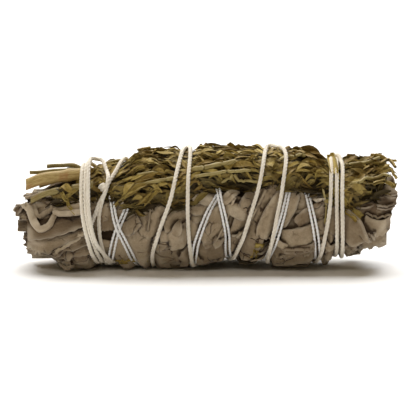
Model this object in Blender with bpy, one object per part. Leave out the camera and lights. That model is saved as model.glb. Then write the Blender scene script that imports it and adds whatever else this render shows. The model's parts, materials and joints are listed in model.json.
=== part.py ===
# Sage bunch: dried white sage leaves packed round their stems, bound with a doubled white
# thread, topped with sprigs of a green herb and tied all round with cotton string.
# It lies along X with its cut stems towards -X, and its front is towards -Y.
# The origin is on the floor, under the middle of the bunch.
# Sizes are in millimetres and angles in degrees until a mesh is made, in metres.

import math
import random

import bmesh
import bpy
import numpy as np
from mathutils import Vector

MM = 0.001
GAP = 0.3  # air between two pieces that touch on the real bunch
SEED = 11

# The heart of the bunch along X: where each section is, its centre height and its radius
STATIONS = (-58, -50, -40, -31, -20, -5, 8, 22, 30, 38, 48, 58)
CENTRE_HEIGHTS = (11.9, 13.1, 14.5, 15.6, 16.9, 17.5, 17.6, 17.6, 17.5, 17.6, 18.5, 19.3)
HEART_RADII = (8.2, 9.4, 11.0, 11.6, 12.9, 13.0, 13.2, 12.9, 12.3, 11.2, 9.8, 8.6)
HEART_LEFT = -48.5
HEART_RIGHT = 48.5
UNDER_HEART = 6.7  # room below the heart for leaves, thread and string
PUFF_BELOW = 7.0  # how far the leaves on the underside bulge between the cords
PUFF_SIDE = 2.4  # the same for the leaves low on the sides
FOLDS = 13  # leaf folds that ridge the heart
FOLD_DEPTH = 0.35

LEAF_THICKNESS = 0.8
THREAD = 0.8  # diameter
STRING = 1.4  # diameter
TURN_POINTS = 22  # points of the string along one turn
THREAD_TURN_POINTS = 15
STRAIGHT_SAG = 0.65  # how far a point of a straight stretch lies below its two neighbours
CORD_ROUND = 16.0  # the radius at which a cord's own turns are spaced
TURN_GAP = 0.15  # air between two turns of one cord

# Each sage leaf, in the order it is laid: name, place along X, angle up from the front,
# length, width and the turn of its midrib away from X
LEAVES_BELOW_THREAD = (
    ("under_left", -38.5, 266, 22, 8, 3),
    ("under_middle_left", -11.5, 269, 25, 8, -3),
    ("under_right", 28.0, 270, 19, 8, -4),
    ("left_dark", -42.0, 6, 21, 8, 6),
    ("left_under", -40.0, -46, 24, 8, 2),
    ("left_top", -47.5, 40, 16, 7, 16),
    ("left_front", -43.5, -20, 23, 10, -5),
    ("left_tongue", -38.0, 29, 13, 5, -10),
    ("band_brown", -27.5, 14, 14, 7, 80),
    ("front_broad", -19.5, -20, 20, 12, 42),
    ("front_square", -15.0, 4, 13, 9, 84),
    ("front_low", -10.5, -36, 13, 9, 100),
    ("front_small", -8.6, 1, 9, 6, 28),
    ("middle_level", -2.5, -14, 17, 7, 10),
    ("middle_high", 0.6, 18, 13, 7, 30),
    ("middle_low", 0.0, -46, 15, 7, 4),
    ("middle_slant", 5.5, -5, 18, 9, 45),
    ("long_slant", 14.0, -4, 27, 11, 62),
    ("second_slant", 21.5, 7, 18, 8, 62),
    ("right_dark", 32.5, -3, 11, 8, 20),
    ("right_lowest", 29.5, -42, 24, 8, 10),
    ("right_level", 30.5, -20, 16, 7, 12),
    ("end_low", 44.5, -40, 18, 7, 8),
    ("end_tip", 46.5, -8, 13, 9, 4),
    ("end_fold", 45.5, 24, 12, 5, 8),
    ("back_left", -42.0, 190, 25, 11, 6),
    ("back_left_end", -46.0, 224, 17, 8, -4),
    ("top_left_end", -45.5, 122, 17, 9, 8),
    ("top_right_end", 47.0, 112, 13, 8, -6),
    ("back_left_low", -22.0, 214, 24, 11, -30),
    ("back_middle", -3.0, 204, 26, 11, 16),
    ("back_right", 17.0, 212, 25, 11, -38),
    ("back_right_end", 38.0, 204, 25, 10, 12),
    ("back_under", 3.0, 232, 22, 8, -6),
)
LEAVES_OVER_THREAD = (
    ("front_pointed", 28.2, 6, 15, 8, 40),
    ("end_pointed", 42.6, -14, 14, 8, -24),
)
# Rolled leaf ends: side of the bunch, offset to the front and up, radius, length, start angle
ROLLS = (
    (-1, 5.6, 0.8, 2.7, 7.6, 20),
    (-1, 3.8, -4.8, 2.5, 7.0, 200),
    (-1, 0.6, 5.2, 2.5, 6.4, 120),
    (-1, 0.2, -0.6, 2.4, 4.8, 240),
    (-1, -4.8, 3.4, 2.5, 6.6, 60),
    (-1, -4.4, -3.4, 2.7, 5.6, 300),
    (1, 4.9, 4.0, 2.6, 6.8, 150),
    (1, 4.8, -2.6, 2.8, 7.4, 30),
    (1, -0.8, 5.8, 2.4, 6.2, 210),
    (1, 0.0, 0.2, 2.4, 4.6, 270),
    (1, -5.2, 1.2, 2.6, 6.2, 60),
    (1, -1.6, -5.2, 2.6, 6.4, 170),
)
ROLL_TURN = 400  # how far a roll's leaf winds round
# Cut sage stems that stand out of the heart at the left: to the front, up, radius and reach
SAGE_STEMS = ((4.0, 4.6, 1.7, 9.4), (2.6, -2.4, 1.5, 9.0), (-2.2, 0.6, 1.2, 7.6))

# The herb: its front edge as angles along X, and its sprigs side by side up to the back
HERB_EDGE = (
    (-44, 26), (-32, 24), (-26, 18), (-20, 8), (-8, 10), (0, 20), (6, 28), (20, 32),
    (30, 30), (36, 22), (42, 12), (48, 20), (56, 25),
)
SPRIG_BACK = 182.0
SPRIGS = 8
SPRIG_LEFTS = (-45.5, -30.0, -29.5, -44.0, -41.0, -46.5, -43.0, -40.0)
SPRIG_RIGHTS = (50.0, 50.0, 51.0, 49.5, 51.0, 50.0, 51.0, 48.0)
# Along a sprig: how far from its cut stem to its tip, and its width
SPRIG_STATIONS = (
    (0.0, 1.7), (0.05, 1.8), (0.1, 3.8), (0.19, 4.2), (0.3, 4.5), (0.41, 4.5), (0.52, 4.4),
    (0.64, 4.2), (0.76, 3.9), (0.88, 3.4), (0.96, 3.0), (1.0, 2.2),
)
SPRIG_DEPTH = 2.3
BLADE_SPACING = 4.6  # along a sprig, from one leaf to the next
PRESSED = 0.45  # how high above the packed stems a leaf may lie under the string
TRIES = 18  # leaves tried for each place, of which the lowest is kept
BLADE_LENGTH = (7.5, 11.5)
BLADE_WIDTH = (2.2, 3.4)
BLADE_LIFT = (0.3, 1.7)
BLADE_THICKNESS = 0.85
# Along a leaf of the herb: how far, and its share of the width
BLADE_STATIONS = ((0.0, 0.5), (0.35, 1.0), (0.72, 0.85), (1.0, 0.16))

# Bare stems at the left end, above the sage: angle, left and right end, radius and rise
WOODY_STEM = ("woody_stem", 62, -53.5, -31.5, 1.8, 0.0)
THIN_STEMS = (
    ("thin_stem_low", 44, -52.0, -30.0, 0.9, 0.0),
    ("thin_stem_middle", 84, -52.5, -28.0, 0.55, 1.2),
    ("thin_stem_high", 104, -47.5, -28.0, 0.6, 2.2),
    ("thin_stem_back", 128, -50.0, -29.0, 0.8, 0.0),
)

# Routes round the bunch as (place along X, angle), the angle growing up the front, over the
# top and down the back. The string binds the left end, winds to the right and comes back.
STRING_ROUTE = (
    (-31.5, -170), (-30.9, -100), (-32.3, -60), (-35.0, -20), (-36.6, 12), (-36.9, 40),
    (-36.5, 70), (-35.5, 100), (-33.6, 160), (-31.4, 220), (-29.2, 262), (-30.5, 300),
    (-33.2, 340), (-34.8, 372), (-35.1, 400), (-34.6, 430), (-33.4, 462), (-31.4, 520),
    (-28.9, 590), (-27.4, 626), (-28.6, 660), (-31.3, 705), (-31.4, 735), (-29.2, 762),
    (-26.6, 785), (-24.6, 812), (-22.2, 880), (-18.0, 950), (-15.8, 990), (-15.3, 1050),
    (-13.2, 1072), (-10.4, 1098), (-7.8, 1140), (-6.4, 1172), (-5.4, 1202), (-0.6, 1245),
    (3.6, 1290), (6.0, 1342), (9.6, 1400), (13.2, 1440), (16.4, 1480), (18.4, 1532),
    (21.4, 1590), (28.4, 1645), (31.8, 1705), (34.6, 1765), (36.6, 1800), (37.4, 1850),
    (37.6, 1895), (37.8, 1980), (38.2, 2065), (39.0, 2120), (39.0, 2180), (39.2, 2255),
    (39.8, 2340), (40.4, 2425), (40.7, 2480), (40.6, 2540), (40.2, 2612), (36.8, 2652),
    (27.0, 2700), (21.4, 2742), (19.2, 2790), (18.6, 2830), (21.0, 2876), (22.8, 2910),
    (23.8, 2955), (20.6, 2990), (11.0, 3030), (2.2, 3064), (-0.8, 3100), (-1.6, 3145),
    (-3.6, 3180), (-5.0, 3220), (-5.2, 3270), (-4.5, 3320), (-4.9, 3350), (-9.4, 3385),
    (-17.0, 3425), (-21.0, 3462), (-23.2, 3505), (-26.4, 3545), (-29.8, 3575),
    (-32.4, 3610), (-33.3, 3640), (-33.2, 3668), (-31.8, 3686), (-29.8, 3672),
    (-28.9, 3652), (-29.6, 3636), (-31.0, 3624),
)
THREAD_ROUTE = (
    (-28.6, -95), (-28.2, -45), (-26.0, -12), (-23.4, 12), (-21.5, 50), (-17.0, 110),
    (-11.0, 190), (-4.4, 262), (-3.7, 300), (-2.6, 330), (0.2, 358), (4.4, 390), (8.0, 440),
    (12.0, 510), (15.0, 590), (16.8, 640), (19.8, 684), (23.2, 722), (25.2, 760), (29.0, 840),
    (34.0, 920), (34.6, 960), (33.6, 1010), (33.0, 1060), (31.2, 1092), (28.8, 1130),
    (22.0, 1210), (12.5, 1290), (9.6, 1335), (7.4, 1366), (6.7, 1395), (6.6, 1420), (4.2, 1462),
    (0.5, 1530), (-7.5, 1610), (-17.0, 1690), (-20.0, 1730), (-23.4, 1770), (-26.6, 1800),
    (-28.0, 1830), (-30.0, 1875),
)

rng = random.Random(SEED)


def curve_through(knots, values):
    # A smooth function of one number through the given values
    knots = np.array(knots, float)
    values = np.array(values, float)
    slopes = np.gradient(values, knots)

    def read(at):
        i = int(np.clip(np.searchsorted(knots, at) - 1, 0, len(knots) - 2))
        span = knots[i + 1] - knots[i]
        t = min(max((at - knots[i]) / span, 0.0), 1.0)
        rise = t * t * (3 - 2 * t)
        return float(
            values[i] + (values[i + 1] - values[i]) * rise
            + span * t * (1 - t) * (slopes[i] * (1 - t) - slopes[i + 1] * t)
        )

    return read


centre_height = curve_through(STATIONS, CENTRE_HEIGHTS)
round_radius = curve_through(STATIONS, HEART_RADII)
herb_edge = curve_through([p[0] for p in HERB_EDGE], [p[1] for p in HERB_EDGE])


def heart_radius(x, angle):
    # The heart is round, and pressed flat below
    down = -math.sin(math.radians(angle))
    radius = round_radius(x)
    if down <= 0.1:
        return radius
    return min(radius, (centre_height(x) - UNDER_HEART) / down)


def place(x, angle, height):
    # The point this high above the heart's surface
    out = heart_radius(x, angle) + height
    turn = math.radians(angle)
    return Vector((x, -out * math.cos(turn), centre_height(x) + out * math.sin(turn)))


def degrees_of(distance, x, angle):
    # How far round the bunch a distance along its surface goes
    return math.degrees(distance / (heart_radius(x, angle) + 2.0))


def route_points(route, spacing_turn):
    # Places along a smooth curve through the route's own points, evenly spaced in angle or X
    knots = [0.0]
    for (x0, a0), (x1, a1) in zip(route, route[1:]):
        knots.append(knots[-1] + math.hypot(x1 - x0, math.radians(a1 - a0) * 16.0))
    along_x = curve_through(knots, [p[0] for p in route])
    along_angle = curve_through(knots, [p[1] for p in route])
    count = round(knots[-1] / (math.tau * 16.0 / spacing_turn))
    steps = [knots[-1] * i / count for i in range(count + 1)]
    return [(along_x(s), along_angle(s)) for s in steps]


STRING_LINE = np.array(route_points(STRING_ROUTE, 80))
THREAD_LINE = np.array(route_points(THREAD_ROUTE, 80))


def distance_to(line, x, angle):
    # How far a place is from a cord's route, in millimetres
    turn = (line[:, 1] - angle + 180) % 360 - 180
    return float(np.hypot(line[:, 0] - x, np.radians(turn) * 17.0).min())


def string_distance(x, angle):
    return distance_to(STRING_LINE, x, angle)


def thread_distance(x, angle):
    return distance_to(THREAD_LINE, x, angle)


def press(distance):
    # 0 under a cord, where the leaves are pressed down, to 1 where they stand free
    t = min(max((distance - 1.2) / 3.2, 0.0), 1.0)
    return t * t * (3 - 2 * t)


class Pile:
    # How high the pieces already laid stand above the heart, over X and the angle
    step = 0.5
    turn_step = 1.5
    left = -66.0
    rows = 264
    columns = 240

    def __init__(self):
        self.height = np.full((self.rows, self.columns), FOLD_DEPTH + 0.1)

    def cells(self, places):
        across = np.round(places[:, 1] / self.turn_step).astype(int) % self.columns
        along = np.round((places[:, 0] - self.left) / self.step).astype(int)
        return np.clip(along, 0, self.rows - 1), across

    def widened(self, reach):
        # The heights spread sideways, so that one reading covers what is within reach
        rows = math.ceil(reach / self.step)
        turns = math.ceil(reach / 0.4)
        high = self.height.copy()
        for shift in range(1, rows + 1):
            high[shift:] = np.maximum(high[shift:], self.height[:-shift])
            high[:-shift] = np.maximum(high[:-shift], self.height[shift:])
        wide = high.copy()
        for shift in range(1, turns + 1):
            wide = np.maximum(wide, np.roll(high, shift, axis=1))
            wide = np.maximum(wide, np.roll(high, -shift, axis=1))
        return wide

    def raise_to(self, places, heights):
        np.maximum.at(self.height, self.cells(places), heights)


def spread(rows, columns, cuts):
    # Even spots on the triangles of a grid: their three corners, and the share of each
    corners, shares = [], []
    for i in range(rows - 1):
        for j in range(columns - 1):
            a, b = i * columns + j, (i + 1) * columns + j
            for triangle in ((a, b, b + 1), (a, b + 1, a + 1)):
                for u in range(cuts + 1):
                    for v in range(cuts + 1 - u):
                        corners.append(triangle)
                        shares.append((u / cuts, v / cuts, (cuts - u - v) / cuts))
    return np.array(corners), np.array(shares)


def along_line(count, cuts):
    # Even spots on a line of points: their two ends, and the share of each
    corners = [(i, i + 1) for i in range(count - 1) for _ in range(cuts + 1)]
    shares = [(1 - s / cuts, s / cuts) for _ in range(count - 1) for s in range(cuts + 1)]
    return np.array(corners), np.array(shares)


def spots_of(places, corners, shares):
    return np.einsum("sk,skd->sd", shares, places[corners])


def settled(wish, corners, shares, floor):
    # The lowest heights of the corners, none below its wish, that clear the floor under
    # every spot: each starts at the highest floor it touches and sinks as far as it can
    touching = [np.nonzero((corners == c) & (shares > 0)) for c in range(len(wish))]
    heights = np.array(wish, float)
    for c, (spots, _) in enumerate(touching):
        heights[c] = max(wish[c], floor[spots].max())
    for ease in (0.5, 0.5, 0.7, 1.0):
        for c, (spots, own) in enumerate(touching):
            above = (shares[spots] * heights[corners[spots]]).sum(axis=1) - floor[spots]
            spare = max(0.0, (above / shares[spots, own]).min())
            heights[c] = max(wish[c], heights[c] - ease * spare)
    return heights


pile = Pile()


def material(name, colour, roughness):
    finish = bpy.data.materials.new(name)
    finish.use_nodes = True
    finish.diffuse_color = (*colour, 1)
    shader = finish.node_tree.nodes["Principled BSDF"]
    shader.inputs["Base Color"].default_value = (*colour, 1)
    shader.inputs["Roughness"].default_value = roughness
    shader.inputs["Metallic"].default_value = 0.0
    return finish


def node(name, points, faces, finish):
    # One closed mesh object, its points given in millimetres
    mesh = bpy.data.meshes.new(name)
    mesh.from_pydata([Vector(p) * MM for p in points], [], faces)
    work = bmesh.new()
    work.from_mesh(mesh)
    bmesh.ops.remove_doubles(work, verts=work.verts, dist=0.002 * MM)
    bmesh.ops.recalc_face_normals(work, faces=work.faces)
    work.to_mesh(mesh)
    work.free()
    mesh.materials.append(finish)
    made = bpy.data.objects.new(name, mesh)
    bpy.context.scene.collection.objects.link(made)
    return made


def drop_scraps(mesh):
    # Keeps the largest connected part of a mesh
    work = bmesh.new()
    work.from_mesh(mesh)
    left = set(work.verts)
    parts = []
    while left:
        part, edge = set(), [left.pop()]
        while edge:
            vertex = edge.pop()
            part.add(vertex)
            for link in vertex.link_edges:
                other = link.other_vert(vertex)
                if other in left:
                    left.remove(other)
                    edge.append(other)
        parts.append(part)
    keep = max(parts, key=len)
    for part in parts:
        if part is not keep:
            bmesh.ops.delete(work, geom=list(part), context="VERTS")
    work.to_mesh(mesh)
    work.free()


def fused(name, pieces):
    # The pieces joined to the first one by one union
    base, others = pieces[0], pieces[1:]
    group = bpy.data.collections.new(name + "_pieces")
    for piece in others:
        bpy.context.scene.collection.objects.unlink(piece)
        group.objects.link(piece)
    bpy.context.scene.collection.children.link(group)
    joined = base.modifiers.new("join", "BOOLEAN")
    joined.operation = "UNION"
    joined.operand_type = "COLLECTION"
    joined.collection = group
    joined.solver = "EXACT"
    bpy.context.view_layer.update()
    graph = bpy.context.evaluated_depsgraph_get()
    mesh = bpy.data.meshes.new_from_object(base.evaluated_get(graph))
    base.modifiers.clear()
    drop_scraps(mesh)
    base.data = mesh
    base.name = name
    for piece in others:
        bpy.data.objects.remove(piece)
    bpy.data.collections.remove(group)
    return base


def slab(upper, lower):
    # Points and triangles of the body between two grids, split alike on both faces
    rows, columns = len(upper), len(upper[0])
    points = [p for row in upper for p in row] + [p for row in lower for p in row]
    under = rows * columns

    def quad(a, b, c, d):
        return [(a, b, c), (a, c, d)]

    faces = []
    for i in range(rows - 1):
        for j in range(columns - 1):
            a, b = i * columns + j, (i + 1) * columns + j
            faces += quad(a, b, b + 1, a + 1)
            faces += [tuple(under + k for k in f[::-1]) for f in quad(a, b, b + 1, a + 1)]
    for i in range(rows - 1):
        for a, b in ((i * columns, (i + 1) * columns),
                     ((i + 1) * columns + columns - 1, i * columns + columns - 1)):
            faces += quad(a, under + a, under + b, b)
    for j in range(columns - 1):
        for a, b in ((j + 1, j), ((rows - 1) * columns + j, (rows - 1) * columns + j + 1)):
            faces += quad(a, under + a, under + b, b)
    return points, [f for f in faces if len(set(f)) == 3]


def tube(centres, radii, sides, end_swell=1.0):
    # Points and triangles of a round bar along the centres, closed at both ends
    points, faces = [], []
    across = None
    last = len(centres) - 1
    for i, centre in enumerate(centres):
        along = (centres[min(i + 1, last)] - centres[max(i - 1, 0)]).normalized()
        if across is None:
            across = along.orthogonal().normalized()
        across = (across - along * across.dot(along)).normalized()
        over = along.cross(across)
        radius = radii[i] * (end_swell if i in (0, last) else 1.0)
        for k in range(sides):
            turn = math.tau * k / sides
            points.append(centre + (across * math.cos(turn) + over * math.sin(turn)) * radius)
    for i in range(last):
        for k in range(sides):
            a, b = i * sides + k, i * sides + (k + 1) % sides
            faces += [(a, b, b + sides), (a, b + sides, a + sides)]
    for k in range(1, sides - 1):
        faces.append((0, k + 1, k))
        faces.append((last * sides, last * sides + k, last * sides + k + 1))
    return points, faces


# The sage


def heart_ring(x, count):
    ring = []
    for k in range(count):
        angle = 360 * k / count
        fold = FOLD_DEPTH * math.sin(math.radians(angle * FOLDS + 9 * x))
        ring.append(place(x, angle, fold))
    return ring


def heart_body():
    count, rings = 20, 10
    points, faces = [], []
    for i in range(rings):
        x = HEART_LEFT + (HEART_RIGHT - HEART_LEFT) * i / (rings - 1)
        points += heart_ring(x, count)
    for i in range(rings - 1):
        for k in range(count):
            a, b = i * count + k, i * count + (k + 1) % count
            faces += [(a, b, b + count), (a, b + count, a + count)]
    for x, ring, inward in ((HEART_LEFT, 0, 1.2), (HEART_RIGHT, rings - 1, -1.2)):
        points.append(Vector((x + inward, 0, centre_height(x))))
        for k in range(count):
            faces.append((ring * count + k, ring * count + (k + 1) % count, len(points) - 1))
    return points, faces


def leaf_roll(side, front, up, radius, length, start):
    # A leaf end rolled up on itself: a strip that winds inwards, standing out of the heart
    x = HEART_LEFT if side < 0 else HEART_RIGHT
    steps = 8
    upper, lower = [], []
    for along in (-2.0, length):
        outer_row, inner_row = [], []
        for k in range(steps):
            turn = math.radians(start + ROLL_TURN * k / (steps - 1))
            flare = 1.0 + 0.03 * along
            out = (radius - 0.14 * radius * k / 3.0) * flare
            edge = along - 0.5 * math.sin(turn + radius) if along > 0 else along
            for row, reach in ((outer_row, out), (inner_row, out - LEAF_THICKNESS * 0.8)):
                row.append(Vector((
                    x + side * edge,
                    -front - reach * math.cos(turn),
                    centre_height(x) + up + reach * math.sin(turn),
                )))
        upper.append(outer_row)
        lower.append(inner_row)
    return slab(upper, lower)


def make_heart(sage):
    pieces = [node("heart", *heart_body(), sage)]
    for roll in ROLLS:
        pieces.append(node("roll", *leaf_roll(*roll), sage))
    for front, up, radius, reach in SAGE_STEMS:
        height = centre_height(HEART_LEFT) + up
        line = [
            Vector((HEART_LEFT + 3.0, -front, height)),
            Vector((HEART_LEFT - reach * 0.5, -front - 0.3, height + 0.1)),
            Vector((HEART_LEFT - reach, -front - 0.4, height + 0.3)),
        ]
        pieces.append(node("stem", *tube(line, (radius, radius * 0.96, radius), 8), sage))
    return fused("white_sage_heart", pieces)


def leaf_width(t):
    # The outline of a sage leaf: a narrow foot, widest past the middle, a blunt tip
    return 0.22 + 0.78 * math.sin(math.pi * min(1.0, 0.08 + 0.86 * t)) ** 0.7 if t < 1 else 0.2


def leaf_places(x, angle, length, width, turn, rows, columns):
    # Places along X and angle of the grid of a leaf, on the unrolled surface
    slant = math.radians(turn)
    places = []
    for i in range(rows):
        t = i / (rows - 1)
        for j in range(columns):
            side = 2 * j / (columns - 1) - 1
            wave = 1 + 0.07 * math.sin(9 * t + 2.3 * side + x)
            a = (t - 0.5) * length
            b = side * 0.5 * width * leaf_width(t) * wave + 0.05 * length * math.sin(3 * t + x)
            along = x + a * math.cos(slant) - b * math.sin(slant)
            up = a * math.sin(slant) + b * math.cos(slant)
            places.append((along, angle + degrees_of(up, along, angle)))
    return np.array(places)


def rows_of(items, columns):
    items = list(items)
    return [items[i:i + columns] for i in range(0, len(items), columns)]


def body_between(places, under, over, columns):
    # The slab of a piece whose grid points lie at the given heights
    upper = rows_of((place(*p, h) for p, h in zip(places, over)), columns)
    lower = rows_of((place(*p, h) for p, h in zip(places, under)), columns)
    return slab(upper, lower)


def lay_down(places, rows, columns, wish, room=math.inf):
    corners, shares = spread(rows, columns, 6)
    spots = spots_of(places, corners, shares)
    floor = pile.widened(0.4)[pile.cells(spots)] + GAP
    return settled(np.minimum(wish + floor.min(), room), corners, shares, floor)


def record(heap, places, rows, columns, over):
    corners, shares = spread(rows, columns, 10)
    heap.raise_to(spots_of(places, corners, shares), (shares * over[corners]).sum(axis=1))


def sage_leaf(name, x, angle, length, width, turn, finish):
    rows = 10 if name.startswith("under") else 7 if length > 15 else 6
    columns = 4
    places = leaf_places(x, angle, length, width, turn, rows, columns)
    curl = 0.3 + 0.6 * rng.random()
    wish, thickness, room = [], [], []
    for k, spot in enumerate(places):
        t, side = (k // columns) / (rows - 1), 2 * (k % columns) / (columns - 1) - 1
        ripple = 0.25 * math.sin(7 * t + 3 * side + x)
        down = max(0.0, -math.sin(math.radians(spot[1])))
        reach = min(string_distance(*spot), thread_distance(*spot))
        free = min(max((reach - 2.0) / 2.1, 0.0), 1.0)
        puff = PUFF_BELOW * free * down ** 8 if name.startswith("under") else PUFF_SIDE * free * down
        wish.append(curl * side * side * abs(math.sin(4 * t + x)) * (1 - down) + ripple + puff)
        thickness.append(LEAF_THICKNESS * (0.5 if abs(side) == 1 and down < 0.8 else 1.0))
        to_floor = centre_height(spot[0]) / max(down, 0.3) - heart_radius(*spot)
        room.append(to_floor - thickness[-1])
    under = lay_down(places, rows, columns, np.array(wish), np.array(room))
    over = under + np.array(thickness)
    record(pile, places, rows, columns, over)
    return node("sage_leaf_" + name, *body_between(places, under, over, columns), finish)


# The ties


def taut(path, turn_points, radius, half_width):
    # Heights of a cord's centre along its path: it lies on the pile, and nearly straight
    # over what is hollow
    places = np.array(path)
    corners, shares = along_line(len(path), 8)
    spots = spots_of(places, corners, shares)
    sag = CORD_ROUND * (1 - math.cos(math.pi / turn_points)) + 0.03
    floor = pile.widened(half_width)[pile.cells(spots)] + GAP + sag + radius
    heights = settled(np.full(len(path), floor.min()), corners, shares, floor)
    for _ in range(6):
        middle = 0.5 * (heights[:-2] + heights[2:]) - STRAIGHT_SAG
        heights[1:-1] = np.maximum(heights[1:-1], middle)
    return heights


def over_itself(path, heights, diameter):
    # Raises a cord where it crosses turns that were wound before it
    heights = np.array(heights)
    cuts, guard = 6, 4
    apart = diameter + TURN_GAP
    turns = np.array(path)
    laid_places, laid_heights = [], []
    for i in range(len(path) - 1):
        shares = np.array([(1 - s / cuts, s / cuts) for s in range(cuts + 1)])
        spots = shares @ turns[i:i + 2]
        if len(laid_places) > guard:
            old = np.concatenate(laid_places[:-guard])
            old_heights = np.concatenate(laid_heights[:-guard])
            for spot, share in sorted(zip(spots, shares), key=lambda s: s[1][0]):
                turn = (old[:, 1] - spot[1] + 180) % 360 - 180
                off = np.hypot(old[:, 0] - spot[0], np.radians(turn) * CORD_ROUND)
                near = off < apart
                if near.any():
                    need = (old_heights[near] + np.sqrt(apart ** 2 - off[near] ** 2)).max()
                    short = need - share @ heights[i:i + 2]
                    if short > 0:
                        heights[i:i + 2] += short * share / (share @ share)
        laid_places.append(spots)
        laid_heights.append(shares @ heights[i:i + 2])
        if i:
            laid_heights[-2] = shares @ heights[i - 1:i + 1]
    return heights


def make_thread(finish):
    # A thread doubled back on itself: two strands side by side, joined by a bend at one end
    path = route_points(THREAD_ROUTE, THREAD_TURN_POINTS)
    half = 0.5 * (THREAD + GAP)
    heights = over_itself(path, taut(path, THREAD_TURN_POINTS, THREAD / 2, THREAD + 0.2), 2 * THREAD + GAP)
    strands = ([], [])
    edges = []
    for i, (x, angle) in enumerate(path):
        ahead, behind = path[min(i + 1, len(path) - 1)], path[max(i - 1, 0)]
        run = ahead[0] - behind[0]
        turn = math.radians(ahead[1] - behind[1]) * CORD_ROUND
        length = math.hypot(run, turn)
        for strand, side in zip(strands, (-half, half)):
            shift = (x + side * turn / length, angle - degrees_of(side * run / length, x, angle))
            strand.append(place(*shift, heights[i]))
        for side in (-THREAD, THREAD):
            up = degrees_of(side * run / length, x, angle)
            edges.append((x + side * turn / length, angle - up))
    record(pile, np.array(edges), len(path), 2, np.repeat(heights, 2) + THREAD / 2)
    there, back = strands
    ahead = (there[-1] - there[-2]).normalized()
    middle = (there[-1] + back[-1]) / 2
    out = there[-1] - middle
    bend = [middle + out * math.cos(t) + ahead * half * math.sin(t)
            for t in (math.radians(45), math.radians(90), math.radians(135))]
    line = there + bend + back[::-1]
    return node("white_thread", *tube(line, [THREAD / 2] * len(line), 4), finish)


def make_string(finish):
    path = route_points(STRING_ROUTE, TURN_POINTS)
    heights = over_itself(path, taut(path, TURN_POINTS, STRING / 2, STRING / 2 + 0.1), STRING)
    line = [place(x, angle, h) for (x, angle), h in zip(path, heights)]
    return node("cotton_string", *tube(line, [STRING / 2] * len(line), 5), finish)


# The green herb


def sprig_centre(k, x):
    # The sprigs lie side by side from the front edge of the herb over to the back
    share = k / (SPRIGS - 1)
    front = herb_edge(x) + 8.0
    back = SPRIG_BACK + 4.0 * math.sin(0.07 * x)
    return front + (back - front) * share + 2.0 * math.sin(0.09 * x + k)


class Sprig:
    # The packed stems and leaf bases of a sprig, and the leaves that stand out of them
    def __init__(self, k, finish):
        self.k = k
        self.finish = finish
        self.heap = Pile()
        self.leaves = Pile()
        places, rise = [], []
        self.left, self.right = SPRIG_LEFTS[k], SPRIG_RIGHTS[k]
        for share, width in SPRIG_STATIONS:
            x = self.left + (self.right - self.left) * share
            angle = sprig_centre(k, x)
            half = degrees_of(0.5 * width, x, angle)
            places += [(x, angle - half), (x, angle), (x, angle + half)]
            depth = SPRIG_DEPTH * (0.45 + 0.55 * press(string_distance(x, angle)))
            side = 0.5 if width > 2 else 0.9
            rise += [side, depth, side]
        self.places = np.array(places)
        under = lay_down(self.places, len(SPRIG_STATIONS), 3, np.zeros(len(places)))
        self.over = under + np.array(rise)
        record(self.heap, self.places, len(SPRIG_STATIONS), 3, self.over)
        body = body_between(self.places, under, self.over, 3)
        self.pieces = [node("core", *body, finish)]

    def crest(self, x):
        # The height of the core's ridge
        return float(np.interp(x, self.places[1::3, 0], self.over[1::3]))

    def add_blade(self, x, others, bare):
        # The best lying of a few small curled leaves, rooted in the core near x
        best = None
        for _ in range(TRIES):
            side = rng.choice((-1, 1))
            start = x + rng.uniform(-2.0, 2.0)
            angle = sprig_centre(self.k, start) + side * rng.uniform(0.5, 3.5)
            length = rng.uniform(*BLADE_LENGTH) * (0.8 if x > 46 else 1.0)
            width = rng.uniform(*BLADE_WIDTH)
            slant = math.radians(side * rng.uniform(4, 30))
            lift = rng.uniform(*BLADE_LIFT) + (1.2 if x > 44 else 0.0)
            bow = rng.uniform(-0.12, 0.12) * length
            root = self.crest(start) - 0.7
            places, wish, free = [], [], []
            for t, share in BLADE_STATIONS:
                for edge in (-1, 1):
                    a = t * length
                    b = edge * 0.5 * width * share + bow * math.sin(math.pi * t)
                    along = start + a * math.cos(slant) - b * math.sin(slant)
                    up = a * math.sin(slant) + b * math.cos(slant)
                    here = (along, angle + degrees_of(up, along, angle))
                    places.append(here)
                    free.append(press(string_distance(*here)))
                    wish.append(root + lift * t ** 1.4 * free[-1])
            places = np.array(places)
            corners, shares = spread(len(BLADE_STATIONS), 2, 6)
            spots = spots_of(places, corners, shares)
            floor = others[pile.cells(spots)] + GAP
            outer = corners.min(axis=1) > 1
            own = self.leaves.height[pile.cells(spots)] + 0.1
            floor = np.where(outer, np.maximum(floor, own), floor)
            under = settled(wish, corners, shares, floor)
            if under[:2].max() > root + 0.35:
                continue
            over = (shares * under[corners]).sum(axis=1) - bare.height[pile.cells(spots)]
            if any(over[s] > PRESSED and string_distance(*spots[s]) < 1.6
                   for s in np.nonzero(over > PRESSED)[0]):
                continue
            score = under.mean() + 2 * ((under - root) * (1 - np.array(free))).max()
            if best is None or score < best[0]:
                best = (score, places, under)
        if best is None:
            return
        _, places, under = best
        points = []
        ridge_places, ridge_over = [], []
        for i in range(len(BLADE_STATIONS)):
            left, right = places[2 * i:2 * i + 2]
            low = under[2 * i:2 * i + 2]
            thick = BLADE_THICKNESS * (0.8 if i in (0, len(BLADE_STATIONS) - 1) else 1.0)
            middle = (left + right) / 2
            top = low.mean() + thick
            points.append([place(*left, low[0]), place(*middle, top), place(*right, low[1])])
            ridge_places += [left, middle, right]
            ridge_over += [low[0], top, low[1]]
        for heap in (self.heap, self.leaves):
            record(heap, np.array(ridge_places), len(points), 3, np.array(ridge_over))
        self.pieces.append(node("blade", *three_sided(points), self.finish))


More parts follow.
